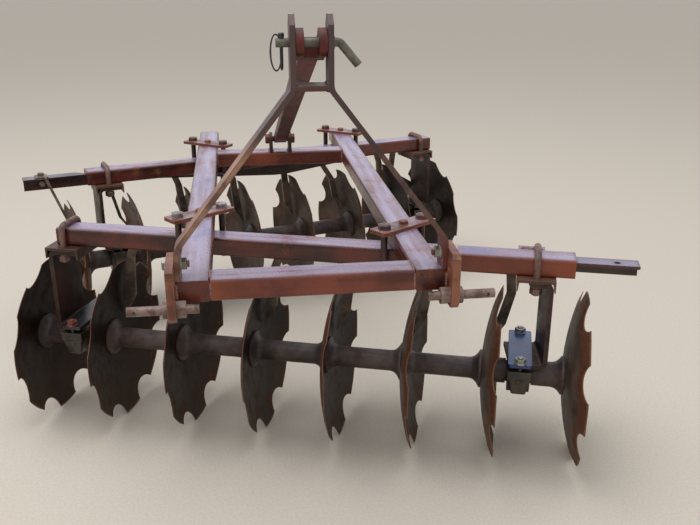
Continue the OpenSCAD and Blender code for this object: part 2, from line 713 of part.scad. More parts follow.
// a spool along +X from s0 to s1, flared against both discs and waisted at a bearing if there is one
flange_edge = 6;
flare_length = 34;
flare_steps = 6;
flare_room = flange_edge + flare_length;
function flare_x(k) = flare_length * pow(k / flare_steps, 1.4);
function flare(neck, k) = neck + (spool_flange_radius - neck) * pow(1 - flare_x(k) / flare_length, 3);
function flare_in(neck) = [for (k = [0:flare_steps]) [flare(neck, k), flange_edge + flare_x(k)]];
function flare_out(neck, l) = [for (k = [flare_steps:-1:0]) [flare(neck, k), l - flange_edge - flare_x(k)]];
module spool(s0, s1, bearing_at) {
    f = spool_flange_radius;
    a = axle_radius + 0.1;
    l = s1 - s0;
    has = !is_undef(bearing_at);
    n = spool_neck_radius + 5;
    b0 = has ? bearing_at - s0 - bearing_length / 2 - 5 : 0;
    b1 = b0 + bearing_length + 10;
    inner = !has ? flare_in(spool_neck_radius)
        : concat(b0 > flare_room ? flare_in(n) : [[f, flange_edge]], [[n, b0], [journal_radius, b0]]);
    outer = !has ? flare_out(spool_neck_radius, l)
        : concat([[journal_radius, b1], [n, b1]], l - b1 > flare_room ? flare_out(n, l) : [[f, l - flange_edge]]);
    translate([s0, 0, axle_z]) rotate([0, 90, 0]) rotate_extrude()
        polygon(concat([[a, 0], [f, 0]], inner, outer, [[f, l], [a, l]]));
}
module front_spools() {
    color([0.33, 0.27, 0.25]) front_axle_place() for (i = [0:6])
        spool(front_rims[i] - hub_in, front_rims[i + 1] - hub_out,
            i == 0 ? front_bearing_s[0] : i == 6 ? front_bearing_s[1] : undef);
}
module rear_spools() {
    color([0.33, 0.27, 0.25]) rear_axle_place() for (i = [0:6])
        spool(rear_rims[i] + hub_out, rear_rims[i + 1] + hub_in,
            i == 0 ? rear_bearing_s[0] : i == 6 ? rear_bearing_s[1] : undef);
}
// round bar with a washer and nut at each end
module axle(s0, s1) {
    translate([s0 - 48, 0, axle_z]) rotate([0, 90, 0]) cylinder(r = axle_radius, h = s1 - s0 + 96);
    for (e = [[s0 - 14, 0], [s1, 0]]) translate([e[0], 0, axle_z]) rotate([0, 90, 0]) cylinder(r = 44, h = 14);
    translate([s0 - 40, 0, axle_z]) rotate([0, 90, 0]) hex(46, 26);
    translate([s1 + 14, 0, axle_z]) rotate([0, 90, 0]) hex(46, 26);
}
module front_axle() {
    color([0.36, 0.26, 0.22]) front_axle_place() axle(front_rims[0] - hub_out, front_rims[7] - hub_in);
}
module rear_axle() {
    color([0.36, 0.26, 0.22]) rear_axle_place() axle(rear_rims[0] + hub_in, rear_rims[7] + hub_out);
}

left_rail();
right_rail();
front_cross_tube();
rear_cross_tube();
left_hitch_plate();
right_hitch_plate();
left_hitch_pin();
right_hitch_pin();
left_mast_strap();
right_mast_strap();
mast_spacer();
top_link_pin();
linchpin_ring();
rear_brace();
brace_clevis();
front_gang_beam();
rear_gang_beam();
rear_beam_stiffener();
front_scraper_bar();
rear_scraper_bar();
front_beam_clamps();
rear_beam_clamps();
front_ubolts();
rear_ubolts();
front_saddles();
rear_saddles();
front_hangers();
rear_hangers();
front_bearings();
rear_bearings();
bearing_caps();
blue_bearing_cap();
front_scrapers();
rear_scrapers();
front_axle();
front_spools();
front_discs();
rear_axle();
rear_spools();
rear_discs();
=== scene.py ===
import json
import math

import bmesh
import bpy
from mathutils import Matrix, Vector, noise


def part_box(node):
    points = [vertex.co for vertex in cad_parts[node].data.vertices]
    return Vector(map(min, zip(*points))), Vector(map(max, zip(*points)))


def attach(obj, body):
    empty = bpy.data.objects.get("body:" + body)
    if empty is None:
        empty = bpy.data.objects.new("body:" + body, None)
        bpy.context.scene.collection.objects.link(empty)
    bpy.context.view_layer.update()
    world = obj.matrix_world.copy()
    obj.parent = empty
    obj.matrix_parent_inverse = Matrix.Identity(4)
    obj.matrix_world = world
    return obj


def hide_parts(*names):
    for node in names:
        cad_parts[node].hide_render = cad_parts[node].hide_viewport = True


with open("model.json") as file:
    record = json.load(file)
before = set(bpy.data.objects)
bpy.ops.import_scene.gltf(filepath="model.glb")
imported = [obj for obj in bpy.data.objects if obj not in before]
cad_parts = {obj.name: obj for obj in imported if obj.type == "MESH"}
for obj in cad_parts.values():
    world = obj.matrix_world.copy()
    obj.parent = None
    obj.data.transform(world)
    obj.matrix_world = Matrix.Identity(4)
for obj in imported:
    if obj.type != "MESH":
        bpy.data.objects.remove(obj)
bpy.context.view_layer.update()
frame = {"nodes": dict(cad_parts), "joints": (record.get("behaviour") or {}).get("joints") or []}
nodes = frame["nodes"]
scene = bpy.context.scene
print("frame loaded with", len(nodes), "nodes")


# Places on the frame and on the two gangs

frameSize = {"tubeHigh": 0.052, "axleBack": 0.02}          # the axle lies behind the beam's middle line


def gangPlace(jointName):
    # x along the axle, y rearwards, z up, with the origin on the axle
    joint = next(j for j in frame["joints"] if j["name"] == jointName)
    along = Vector(joint["axis"])
    up = Vector((0, 0, 1))
    turn = Matrix((along, up.cross(along), up)).transposed().to_4x4()
    return Matrix.Translation(Vector(joint["pos_m"])) @ turn


def at(x, y, z):
    return Matrix.Translation((x, y, z))


def turned(axis, degrees):
    return Matrix.Rotation(math.radians(degrees), 4, axis)


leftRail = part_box("left_rail")
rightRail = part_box("right_rail")
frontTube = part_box("front_cross_tube")
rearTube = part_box("rear_cross_tube")
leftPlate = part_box("left_hitch_plate")
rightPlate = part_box("right_hitch_plate")
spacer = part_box("mast_spacer")
railTop = leftRail[1].z
beamTop = railTop - frameSize["tubeHigh"]
beamBottom = beamTop - frameSize["tubeHigh"]

frontGang = gangPlace("front_gang_spin")
rearGang = gangPlace("rear_gang_spin")
axleHeight = frontGang.translation.z
frontTurn = math.atan2(frontGang[1][0], frontGang[0][0])
rearTurn = math.atan2(rearGang[1][0], rearGang[0][0])
toBeam = at(0, -frameSize["axleBack"], beamBottom - axleHeight)
frontBeam = frontGang @ toBeam                # on the beam's middle line, at its underside
rearBeam = rearGang @ toBeam
still = Matrix.Identity(4)
upside = turned("X", 180)


# Camera

cameraLook = {"place": (-0.1219, -2.7309, 1.3231), "tilt": 69.928, "turn": -7.95, "lens": 42.02}


def addCamera(look):
    data = bpy.data.cameras.new("camera")
    data.sensor_width = 36.0
    data.lens = look["lens"]
    data.clip_end = 300.0
    camera = bpy.data.objects.new("camera", data)
    camera.location = look["place"]
    camera.rotation_euler = (math.radians(look["tilt"]), 0, math.radians(look["turn"]))
    scene.collection.objects.link(camera)
    scene.camera = camera


addCamera(cameraLook)


# Shader graphs

def colour(value):
    if isinstance(value, tuple) and len(value) == 3:
        return (*value, 1.0)
    return value


class Wire:                                   # a socket that can stand in a sum
    def __init__(self, graph, socket):
        self.graph = graph
        self.socket = socket

    def join(self, operation, left, right):
        return self.graph.add("ShaderNodeMath", {"operation": operation}, {0: left, 1: right})

    def __add__(self, other):
        return self.join("ADD", self, other)

    def __radd__(self, other):
        return self.join("ADD", other, self)

    def __sub__(self, other):
        return self.join("SUBTRACT", self, other)

    def __rsub__(self, other):
        return self.join("SUBTRACT", other, self)

    def __mul__(self, other):
        return self.join("MULTIPLY", self, other)

    def __rmul__(self, other):
        return self.join("MULTIPLY", other, self)


class Graph:
    def __init__(self, tree):
        self.tree = tree

    def add(self, kind, settings=None, sockets=None, output=0):
        made = self.tree.nodes.new(kind)
        for key, value in (settings or {}).items():
            setattr(made, key, value)
        for key, value in (sockets or {}).items():
            self.feed(made.inputs[key], value)
        return Wire(self, made.outputs[output])

    def feed(self, target, value):
        if isinstance(value, Wire):
            self.tree.links.new(value.socket, target)
        else:
            target.default_value = value

    def mix(self, mask, low, high):
        sockets = {0: mask, 6: colour(low), 7: colour(high)}
        return self.add("ShaderNodeMix", {"data_type": "RGBA"}, sockets, 2)

    def between(self, value, low, high):      # 0 at low and 1 at high, where low may be the larger
        sockets = {"Value": value, "From Min": low, "From Max": high}
        return self.add("ShaderNodeMapRange", {"interpolation_type": "SMOOTHSTEP"}, sockets)

    def vector(self, operation, left, right):
        return self.add("ShaderNodeVectorMath", {"operation": operation}, {0: left, 1: right}, 1)

    def part(self, vector, axis):
        return self.add("ShaderNodeSeparateXYZ", {}, {0: vector}, axis)

    def point(self, turn=0.0, stretch=(1, 1, 1)):
        where = self.add("ShaderNodeTexCoord", output=3)
        along = self.add("ShaderNodeMapping", {}, {"Vector": where, "Rotation": (0, 0, turn)})
        return self.add("ShaderNodeMapping", {}, {"Vector": along, "Scale": stretch})

    def cloud(self, point, scale, detail=4.0, rough=0.55):
        sockets = {"Vector": point, "Scale": scale, "Detail": detail, "Roughness": rough}
        return self.add("ShaderNodeTexNoise", {}, sockets)

    def cells(self, point, scale):
        return self.add("ShaderNodeTexVoronoi", {}, {"Vector": point, "Scale": scale})

    def normal(self):
        return self.add("ShaderNodeTexCoord", output=1)

    def upward(self):                         # how far a face looks up
        return self.part(self.normal(), 2)

    def rounded(self, radius):
        return self.add("ShaderNodeBevel", {"samples": 4}, {"Radius": radius})

    def corner(self, radius, low, high):      # 1 where the surface turns within the radius
        flat = self.add("ShaderNodeNewGeometry", output=1)
        return self.between(1 - self.vector("DOT_PRODUCT", self.rounded(radius), flat), low, high)


class Finish(Graph):
    def __init__(self, name):
        self.material = bpy.data.materials.new(name)
        self.material.use_nodes = True
        super().__init__(self.material.node_tree)
        self.shader = self.tree.nodes["Principled BSDF"]

    def surface(self, base, roughness, height, look):
        sockets = self.shader.inputs
        self.feed(sockets["Base Color"], colour(base))
        self.feed(sockets["Roughness"], roughness)
        sockets["Metallic"].default_value = look["metal"]
        sockets["Coat Weight"].default_value = look["coat"]
        sockets["Coat Roughness"].default_value = look["coatRough"]
        sockets["IOR"].default_value = look["gloss"]
        bump = {"Strength": look["bump"], "Distance": 0.002, "Height": height,
                "Normal": self.rounded(look["bevel"])}
        self.feed(sockets["Normal"], self.add("ShaderNodeBump", {}, bump))
        return self.material


# Paint, rust and bare steel

# the dictionaries further down name only what differs from this one
steelBase = {
    "turn": 0.0, "stretch": (1, 1, 1), "streak": 30.0, "cornerWidth": 0.004, "cornerRust": 0.08,
    # topFrom, border and the topRed colour shape a painted sky reflection on faces that look up
    "rustShare": 0.85, "wearShare": 0.6, "speckSize": 120.0, "speckShare": 0.5, "topFrom": 0.26,
    "border": 0.016, "topRed": (0.285, 0.1, 0.09), "topRedShare": 0.55, "metal": 0.0, "coat": 0.0,
    "coatRough": 0.2, "gloss": 1.5, "bump": 0.35, "bevel": 0.0012,
}


def paintTopSheen(f, look, base, broad, streaks, grain):
    # painted sky reflection on faces that look up: a pale tone with blue and red patches, and a darker
    # border where this painted sheen stops short of the corners
    pale = f.between(streaks * 0.72 + grain * 0.28, 0.36, 0.64)
    tone = f.mix(pale, look["top"], look["topPale"])
    tone = f.mix(f.between(broad, 0.58, 0.7) * 0.6, tone, look["topBlue"])
    redShare = f.between(broad + (streaks - 0.5) * 0.35, 0.45, 0.36) * look["topRedShare"]
    tone = f.mix(redShare, tone, look["topRed"])
    sheenShare = f.between(broad * 0.6 + streaks * 0.4, look["topFrom"], look["topFrom"] + 0.22)
    border = f.corner(look["border"], 0.003, 0.1)
    return f.mix(f.between(f.upward(), 0.75, 0.98) * sheenShare * (1 - border * 0.85), base, tone)


def changeByHeight(f, look, base, point, broad):
    # another colour below or above a height, on faces that don't look up
    for key, side in (("below", -1), ("above", 1)):
        if key in look:
            level, tone, soft = look[key]
            height = f.part(point, 2) + (broad - 0.5) * soft
            share = f.between(height, level - side * soft, level + side * soft) * 0.9
            base = f.mix(share * (1 - f.between(f.upward(), 0.6, 0.9)), base, tone)
    return base


def warmSpot(f, look, base, rustNoise):
    # rust colours around one place
    place, reach, tone = look["warm"]
    away = f.vector("DISTANCE", f.point(), place)
    near = f.between(away + (rustNoise - 0.5) * 0.25, reach, 0.0) * (1 - f.between(f.upward(), 0.5, 0.9))
    return f.mix(near * 0.8, base, tone)


def steelFinish(name, own):
    look = {**steelBase, **own}
    f = Finish(name)
    point = f.point(look["turn"])
    streaks = f.cloud(f.point(look["turn"], look["stretch"]), look["streak"], 5.0, 0.6)
    broad = f.cloud(point, look["size"], 5.0, 0.6)
    grain = f.cloud(point, 260.0, 3.0, 0.6)
    rustNoise = f.cloud(point, look["rustSize"], 7.0, 0.68)
    corner = f.corner(look["cornerWidth"], 0.02, 0.3)
    base = f.mix(f.between(broad + (streaks - 0.5) * 0.5, 0.36, 0.64), look["dark"], look["light"])
    # the top colours paint a sky reflection, a painted sheen, into the base colour of faces that look up
    if "top" in look:
        base = paintTopSheen(f, look, base, broad, streaks, grain)
    rustTone = f.mix(f.between(grain, 0.35, 0.65), look["rustDark"], look["rust"])
    rust = f.between(rustNoise + corner * look["cornerRust"], look["rustFrom"], look["rustFrom"] + 0.09)
    base = f.mix(rust * look["rustShare"], base, rustTone)
    wear = f.between(corner * (0.6 + rustNoise * 0.8), 0.35, 0.75)
    base = f.mix(wear * look["wearShare"], base, look["wear"])
    base = changeByHeight(f, look, base, point, broad)
    if "warm" in look:
        base = warmSpot(f, look, base, rustNoise)
    specks = f.between(f.cells(point, look["speckSize"]), 0.16, 0.08) * f.between(broad, 0.52, 0.62)
    base = f.mix(specks * look["speckShare"], base, look["speck"])
    shine, dull = look["rough"]
    roughness = shine + (dull - shine) * f.between(rustNoise * 0.6 + grain * 0.4 + rust * 0.25, 0.4, 0.75)
    height = grain * 0.35 + rustNoise * 0.5 + rust * 0.25 - specks * 0.3
    return f.surface(base, roughness, height, look)


# near the right end of the front beam
frontEnd = (frontGang @ Vector((0.73, -0.02, beamBottom - axleHeight + 0.02)))[:]

# here and in the dictionaries below, top, topPale, topBlue and topRed are colours of a painted sky
# reflection on faces that look up
redPaint = {
    "dark": (0.034, 0.007, 0.005), "light": (0.12, 0.024, 0.014), "top": (0.205, 0.12, 0.165),
    "topPale": (0.35, 0.3, 0.43), "topBlue": (0.12, 0.14, 0.33), "rust": (0.23, 0.07, 0.024),
    "rustDark": (0.085, 0.026, 0.014), "wear": (0.09, 0.026, 0.022), "speck": (0.02, 0.01, 0.009),
    "size": 5.0, "rustSize": 9.0, "rustFrom": 0.6, "rough": (0.24, 0.52), "stretch": (0.06, 1, 1),
    "streak": 38.0, "coat": 0.12, "gloss": 1.46, "cornerWidth": 0.01, "bump": 0.22,
}
frontBeamPaint = {**redPaint, "turn": -frontTurn, "warm": (frontEnd, 0.34, (0.26, 0.055, 0.018))}
barPaint = {
    **redPaint, "dark": (0.016, 0.008, 0.007), "light": (0.06, 0.026, 0.02), "topFrom": 0.42,
    "top": (0.15, 0.11, 0.18), "topPale": (0.27, 0.23, 0.35), "rustFrom": 0.62,
}
crossPaint = {
    **redPaint, "dark": (0.075, 0.014, 0.009), "light": (0.2, 0.045, 0.024),
    "warm": ((-0.27, -0.99, 0.64), 0.2, (0.34, 0.08, 0.02)),
}
bracePaint = {
    **redPaint, "dark": (0.05, 0.009, 0.007), "light": (0.13, 0.024, 0.018), "topFrom": 0.6,
    "coat": 0.0, "gloss": 1.38, "rough": (0.4, 0.6),
}
platePaint = {
    "dark": (0.11, 0.03, 0.015), "light": (0.25, 0.088, 0.044), "rust": (0.38, 0.12, 0.032),
    "rustDark": (0.15, 0.045, 0.02), "wear": (0.36, 0.21, 0.14), "speck": (0.05, 0.02, 0.014),
    "size": 14.0, "rustSize": 20.0, "rustFrom": 0.57, "rough": (0.36, 0.68), "coat": 0.1, "bump": 0.4,
}
clampPaint = {
    **platePaint, "dark": (0.06, 0.018, 0.013), "light": (0.15, 0.045, 0.027), "cornerRust": 0.3,
    "rust": (0.43, 0.13, 0.035), "rustFrom": 0.62, "cornerWidth": 0.011, "border": 0.008,
    "wear": (0.38, 0.12, 0.036), "wearShare": 0.85, "top": (0.16, 0.08, 0.085),
    "topPale": (0.3, 0.23, 0.27), "topBlue": (0.16, 0.17, 0.21), "topFrom": 0.36,
    "below": (railTop - 0.002, (0.03, 0.014, 0.011), 0.001),
}
strapPaint = {
    "dark": (0.12, 0.055, 0.038), "light": (0.33, 0.18, 0.118), "rust": (0.28, 0.11, 0.055),
    "rustDark": (0.11, 0.04, 0.027), "wear": (0.085, 0.038, 0.032), "speck": (0.06, 0.026, 0.022),
    "size": 8.0, "rustSize": 16.0, "rustFrom": 0.6, "rough": (0.42, 0.7), "cornerWidth": 0.006,
    "bump": 0.3, "top": (0.42, 0.3, 0.29), "topPale": (0.7, 0.58, 0.57),
    "topBlue": (0.5, 0.42, 0.45), "topRedShare": 0.1, "topFrom": 0.05, "border": 0.003,
    "above": (0.955, (0.058, 0.031, 0.03), 0.035),
}
rightStrap = {
    **strapPaint, "dark": (0.045, 0.022, 0.019), "light": (0.13, 0.068, 0.052),
    "rust": (0.14, 0.05, 0.03), "below": (0.745, (0.13, 0.028, 0.02), 0.03),
}
spacerPaint = {
    **strapPaint, "dark": (0.06, 0.044, 0.02), "light": (0.125, 0.095, 0.05),
    "rust": (0.12, 0.05, 0.026), "top": (0.11, 0.08, 0.06), "topPale": (0.19, 0.15, 0.13),
    "above": (2.0, (0.1, 0.1, 0.1), 0.01), "below": (spacer[0].z + 0.008, (0.085, 0.018, 0.014), 0.003),
}
pinSteel = {
    "dark": (0.105, 0.06, 0.048), "light": (0.225, 0.152, 0.13), "rust": (0.26, 0.105, 0.06),
    "rustDark": (0.13, 0.05, 0.034), "wear": (0.4, 0.29, 0.24), "speck": (0.06, 0.03, 0.025),
    "size": 30.0, "rustSize": 40.0, "rustFrom": 0.55, "rough": (0.4, 0.65), "metal": 0.2, "bump": 0.4,
}
topPinPaint = {
    "dark": (0.085, 0.078, 0.058), "light": (0.165, 0.155, 0.118), "rust": (0.21, 0.1, 0.055),
    "rustDark": (0.09, 0.045, 0.03), "wear": (0.3, 0.28, 0.24), "speck": (0.04, 0.03, 0.022),
    "size": 30.0, "rustSize": 45.0, "rustFrom": 0.58, "rough": (0.4, 0.65), "bump": 0.3,
}
wirePaint = {
    "dark": (0.012, 0.012, 0.012), "light": (0.025, 0.023, 0.022), "rust": (0.06, 0.03, 0.02),
    "rustDark": (0.02, 0.012, 0.01), "wear": (0.08, 0.07, 0.065), "speck": (0.01, 0.008, 0.008),
    "size": 40.0, "rustSize": 60.0, "rustFrom": 0.64, "rough": (0.35, 0.5), "bump": 0.15,
}
ubolt = {
    "dark": (0.075, 0.036, 0.027), "light": (0.19, 0.104, 0.08), "rust": (0.25, 0.105, 0.055),
    "rustDark": (0.1, 0.04, 0.028), "wear": (0.33, 0.22, 0.18), "speck": (0.05, 0.025, 0.02),
    "size": 25.0, "rustSize": 35.0, "rustFrom": 0.56, "rough": (0.42, 0.7), "metal": 0.1, "bump": 0.45,
}
hangerSteel = {
    "dark": (0.018, 0.01, 0.008), "light": (0.058, 0.026, 0.018), "rust": (0.11, 0.042, 0.018),
    "rustDark": (0.045, 0.018, 0.011), "wear": (0.15, 0.09, 0.062), "speck": (0.01, 0.007, 0.006),
    "size": 10.0, "rustSize": 18.0, "rustFrom": 0.58, "rough": (0.4, 0.66), "gloss": 1.38, "bump": 0.4,
}
saddleSteel = {
    **hangerSteel, "dark": (0.05, 0.024, 0.016), "light": (0.13, 0.064, 0.042),
    "wear": (0.23, 0.15, 0.1),
}
bearingIron = {
    "dark": (0.01, 0.008, 0.007), "light": (0.055, 0.04, 0.022), "rust": (0.13, 0.09, 0.034),
    "rustDark": (0.05, 0.03, 0.014), "wear": (0.1, 0.075, 0.046), "speck": (0.008, 0.006, 0.005),
    "size": 22.0, "rustSize": 30.0, "rustFrom": 0.57, "rough": (0.3, 0.65), "coat": 0.2, "bump": 0.6,
}
castIron = {
    **bearingIron, "dark": (0.022, 0.014, 0.009), "light": (0.072, 0.049, 0.028),
}
blackPlate = {
    "dark": (0.008, 0.008, 0.01), "light": (0.02, 0.02, 0.024), "rust": (0.07, 0.03, 0.018),
    "rustDark": (0.028, 0.014, 0.01), "wear": (0.06, 0.05, 0.05), "speck": (0.006, 0.005, 0.005),
    "size": 20.0, "rustSize": 30.0, "rustFrom": 0.62, "rough": (0.25, 0.5), "coat": 0.3,
}
bluePaint = {
    "dark": (0.01, 0.036, 0.13), "light": (0.018, 0.066, 0.24), "rust": (0.05, 0.026, 0.02),
    "rustDark": (0.012, 0.01, 0.012), "wear": (0.014, 0.014, 0.02), "speck": (0.01, 0.01, 0.016),
    "size": 12.0, "rustSize": 30.0, "rustFrom": 0.66, "cornerRust": 0.14, "rough": (0.28, 0.5),
    "coat": 0.3, "bump": 0.2, "speckShare": 0.9, "wearShare": 0.9,
    "below": (axleHeight + 0.0645, (0.016, 0.012, 0.01), 0.001),
}
scraperSteel = {
    "dark": (0.07, 0.05, 0.038), "light": (0.21, 0.155, 0.117), "rust": (0.15, 0.075, 0.04),
    "rustDark": (0.06, 0.03, 0.018), "wear": (0.22, 0.16, 0.12), "speck": (0.016, 0.012, 0.01),
    "size": 16.0, "rustSize": 26.0, "rustFrom": 0.58, "rough": (0.4, 0.65),
}
spoolIron = {
    "dark": (0.044, 0.03, 0.029), "light": (0.115, 0.08, 0.07), "rust": (0.12, 0.058, 0.036),
    "rustDark": (0.012, 0.012, 0.022), "wear": (0.15, 0.105, 0.095), "speck": (0.014, 0.012, 0.018),
    "size": 7.0, "rustSize": 9.0, "rustFrom": 0.56, "rough": (0.4, 0.64), "gloss": 1.42, "bump": 0.5,
}
silverHead = {
    "dark": (0.16, 0.12, 0.11), "light": (0.42, 0.4, 0.41), "rust": (0.22, 0.1, 0.05),
    "rustDark": (0.06, 0.03, 0.024), "wear": (0.52, 0.5, 0.5), "speck": (0.05, 0.03, 0.025),
    "size": 45.0, "rustSize": 60.0, "rustFrom": 0.56, "rough": (0.3, 0.6), "metal": 0.4, "bump": 0.3,
}
darkHead = {
    **silverHead, "dark": (0.03, 0.013, 0.011), "light": (0.115, 0.05, 0.044),
    "wear": (0.32, 0.26, 0.27), "rust": (0.15, 0.05, 0.026), "metal": 0.1,
}
greenZinc = {
    "dark": (0.17, 0.168, 0.13), "light": (0.4, 0.4, 0.34), "rust": (0.26, 0.15, 0.07),
    "rustDark": (0.09, 0.06, 0.035), "wear": (0.55, 0.56, 0.48), "speck": (0.06, 0.045, 0.03),
    "size": 45.0, "rustSize": 55.0, "rustFrom": 0.6, "rough": (0.32, 0.6), "metal": 0.35, "bump": 0.3,
}
redBolt = {
    "dark": (0.13, 0.022, 0.016), "light": (0.23, 0.05, 0.03), "rust": (0.14, 0.05, 0.025),
    "rustDark": (0.05, 0.02, 0.012), "wear": (0.2, 0.11, 0.08), "speck": (0.02, 0.01, 0.008),
    "size": 40.0, "rustSize": 50.0, "rustFrom": 0.58, "rough": (0.35, 0.6), "bump": 0.4,
}
weldPaint = {
    "dark": (0.11, 0.026, 0.016), "light": (0.24, 0.07, 0.04), "rust": (0.38, 0.12, 0.04),
    "rustDark": (0.13, 0.04, 0.02), "wear": (0.42, 0.29, 0.27), "speck": (0.03, 0.014, 0.012),
    "size": 60.0, "rustSize": 70.0, "rustFrom": 0.52, "rough": (0.28, 0.55), "coat": 0.2, "bump": 0.3,
}

finishLooks = {
    "frame": ("frame_paint_cross", crossPaint),
    "rail": ("frame_paint_rail", {**redPaint, "turn": math.pi / 2}),
    "frontBeam": ("frame_paint_front", frontBeamPaint),
    "rearBeam": ("frame_paint_rear", {**redPaint, "turn": -rearTurn}),
    "frontBar": ("frame_paint_front_bar", {**barPaint, "turn": -frontTurn, "topFrom": 0.2}),
    "rearBar": ("frame_paint_rear_bar", {**barPaint, "turn": -rearTurn}),
    "brace": ("frame_paint_brace", {**bracePaint, "turn": math.pi / 2}),
    "plate": ("rusty_plate", platePaint),
    "clamp": ("rusty_clamps", clampPaint),
    "saddle": ("saddle_steel", saddleSteel),
    "strap": ("strap_steel", strapPaint),
    "rightStrap": ("strap_steel_right", rightStrap),
    "spacer": ("strap_steel_spacer", spacerPaint),
    "pin": ("pin_steel", pinSteel),
    "topPin": ("top_pin_paint", topPinPaint),
    "wire": ("black_wire", wirePaint),
    "ubolt": ("ubolt_steel", ubolt),
    "hanger": ("hanger_steel", hangerSteel),
    "bearing": ("bearing_iron", bearingIron),
    "cast": ("cast_iron", castIron),
    "black": ("black_plate", blackPlate),
    "blue": ("blue_paint", bluePaint),
    "scraper": ("scraper_steel", scraperSteel),
    "spool": ("spool_iron", spoolIron),
    "silverHead": ("worn_bolt_heads", silverHead),
    "darkHead": ("dark_bolt_heads", darkHead),
    "greenZinc": ("zinc_bolts", greenZinc),
    "redBolt": ("red_bolt", redBolt),
    "weld": ("weld_paint", weldPaint),
}
finishes = {key: steelFinish(name, own) for key, (name, own) in finishLooks.items()}
print("steel finishes made:", len(finishes))


# Each CAD node and the finish that it shows

nodeFinish = {
    "left_rail": "rail", "right_rail": "rail", "front_cross_tube": "frame", "rear_cross_tube": "frame",
    "left_hitch_plate": "plate", "right_hitch_plate": "plate", "left_hitch_pin": "pin",
    "right_hitch_pin": "pin", "left_mast_strap": "strap", "right_mast_strap": "rightStrap",
    "mast_spacer": "spacer", "top_link_pin": "topPin", "linchpin_ring": "wire", "rear_brace": "brace",
    "brace_clevis": "hanger", "front_gang_beam": "frontBeam", "rear_gang_beam": "rearBeam",
    "rear_beam_stiffener": "hanger", "front_scraper_bar": "frontBar", "rear_scraper_bar": "rearBar",
    "front_beam_clamps": "clamp", "rear_beam_clamps": "clamp", "front_ubolts": "ubolt",
    "rear_ubolts": "ubolt", "front_saddles": "saddle", "rear_saddles": "saddle",
    "front_hangers": "hanger", "rear_hangers": "hanger", "front_bearings": "bearing",
    "rear_bearings": "bearing", "bearing_caps": "black", "blue_bearing_cap": "blue",
    "front_scrapers": "scraper", "rear_scrapers": "scraper", "front_axle": "spool",
    "front_spools": "spool", "rear_axle": "spool", "rear_spools": "spool",
}
for nodeName, finishName in nodeFinish.items():
    painted = nodes[nodeName].data
    painted.materials.clear()
    painted.materials.append(finishes[finishName])
print("CAD nodes painted:", len(nodeFinish))


# New pieces

def addPiece(name, shape, body, material, replaced=(), sharp=35.0):
    mesh = bpy.data.meshes.new(name)
    shape.to_mesh(mesh)
    shape.free()
    mesh.polygons.foreach_set("use_smooth", [True] * len(mesh.polygons))
    mesh.set_sharp_from_angle(angle=math.radians(sharp))
    mesh.materials.append(material)
    piece = bpy.data.objects.new(name, mesh)
    scene.collection.objects.link(piece)
    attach(piece, body)
    if replaced:
        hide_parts(*replaced)


def pour(target, part, place):
    # adds a finished shape to another one, moved to its place
    bmesh.ops.transform(part, matrix=place, verts=part.verts)
    carrier = bpy.data.meshes.new("carrier")
    part.to_mesh(carrier)
    part.free()
    target.from_mesh(carrier)
    bpy.data.meshes.remove(carrier)


# Worn, notched discs

discLook = {
    # the hollow colours are dark as painted shade; the lighter colours for their lower part and for the
    # rear gang's left discs are painted light
    "shadedHollowDark": (0.0055, 0.003, 0.0026), "shadedHollowLight": (0.024, 0.013, 0.0095),
    "bounceLit": (0.052, 0.031, 0.02), "litHollowDark": (0.04, 0.025, 0.018), "litHollowLight": (0.145, 0.092, 0.066),
    "outerDark": (0.04, 0.027, 0.02), "outerLight": (0.112, 0.077, 0.057),
    "rimDark": (0.05, 0.016, 0.009), "rimLight": (0.15, 0.05, 0.02),
    "rustDark": (0.06, 0.024, 0.013), "rust": (0.17, 0.07, 0.032), "edge": (0.21, 0.11, 0.075),
    "rough": (0.42, 0.26), "metal": 0.0, "coat": 0.0, "coatRough": 0.25, "gloss": 1.2, "bump": 0.35,
    "bevel": 0.0008,
}
discSize = {
    "radius": 0.245, "dish": 0.046, "gauge": 0.0048, "edge": 0.002, "bore": 0.0162, "flat": 0.064,
    "innerRings": (0.04, 0.095, 0.125), "still": 0.14, "rings": 11, "notches": 8, "notchRadius": 0.054,
    "notchDepth": 0.036, "notchSteps": 12, "lobeSteps": 7, "wear": 0.0036, "ripple": 0.0006,
    "count": 8, "pitch": 0.225,
}
discGangs = {
    "front": {"gang": frontGang, "body": "front_gang", "node": "front_discs", "first": -0.784, "seed": 1,
              "turned": 0.0, "litLeftOf": None},
    # on the rear gang, painted light makes the hollow faces left of x = 0.46 paler
    "rear": {"gang": rearGang, "body": "rear_gang", "node": "rear_discs", "first": -0.8315, "seed": 11,
             "turned": 180.0, "litLeftOf": 0.46},
}


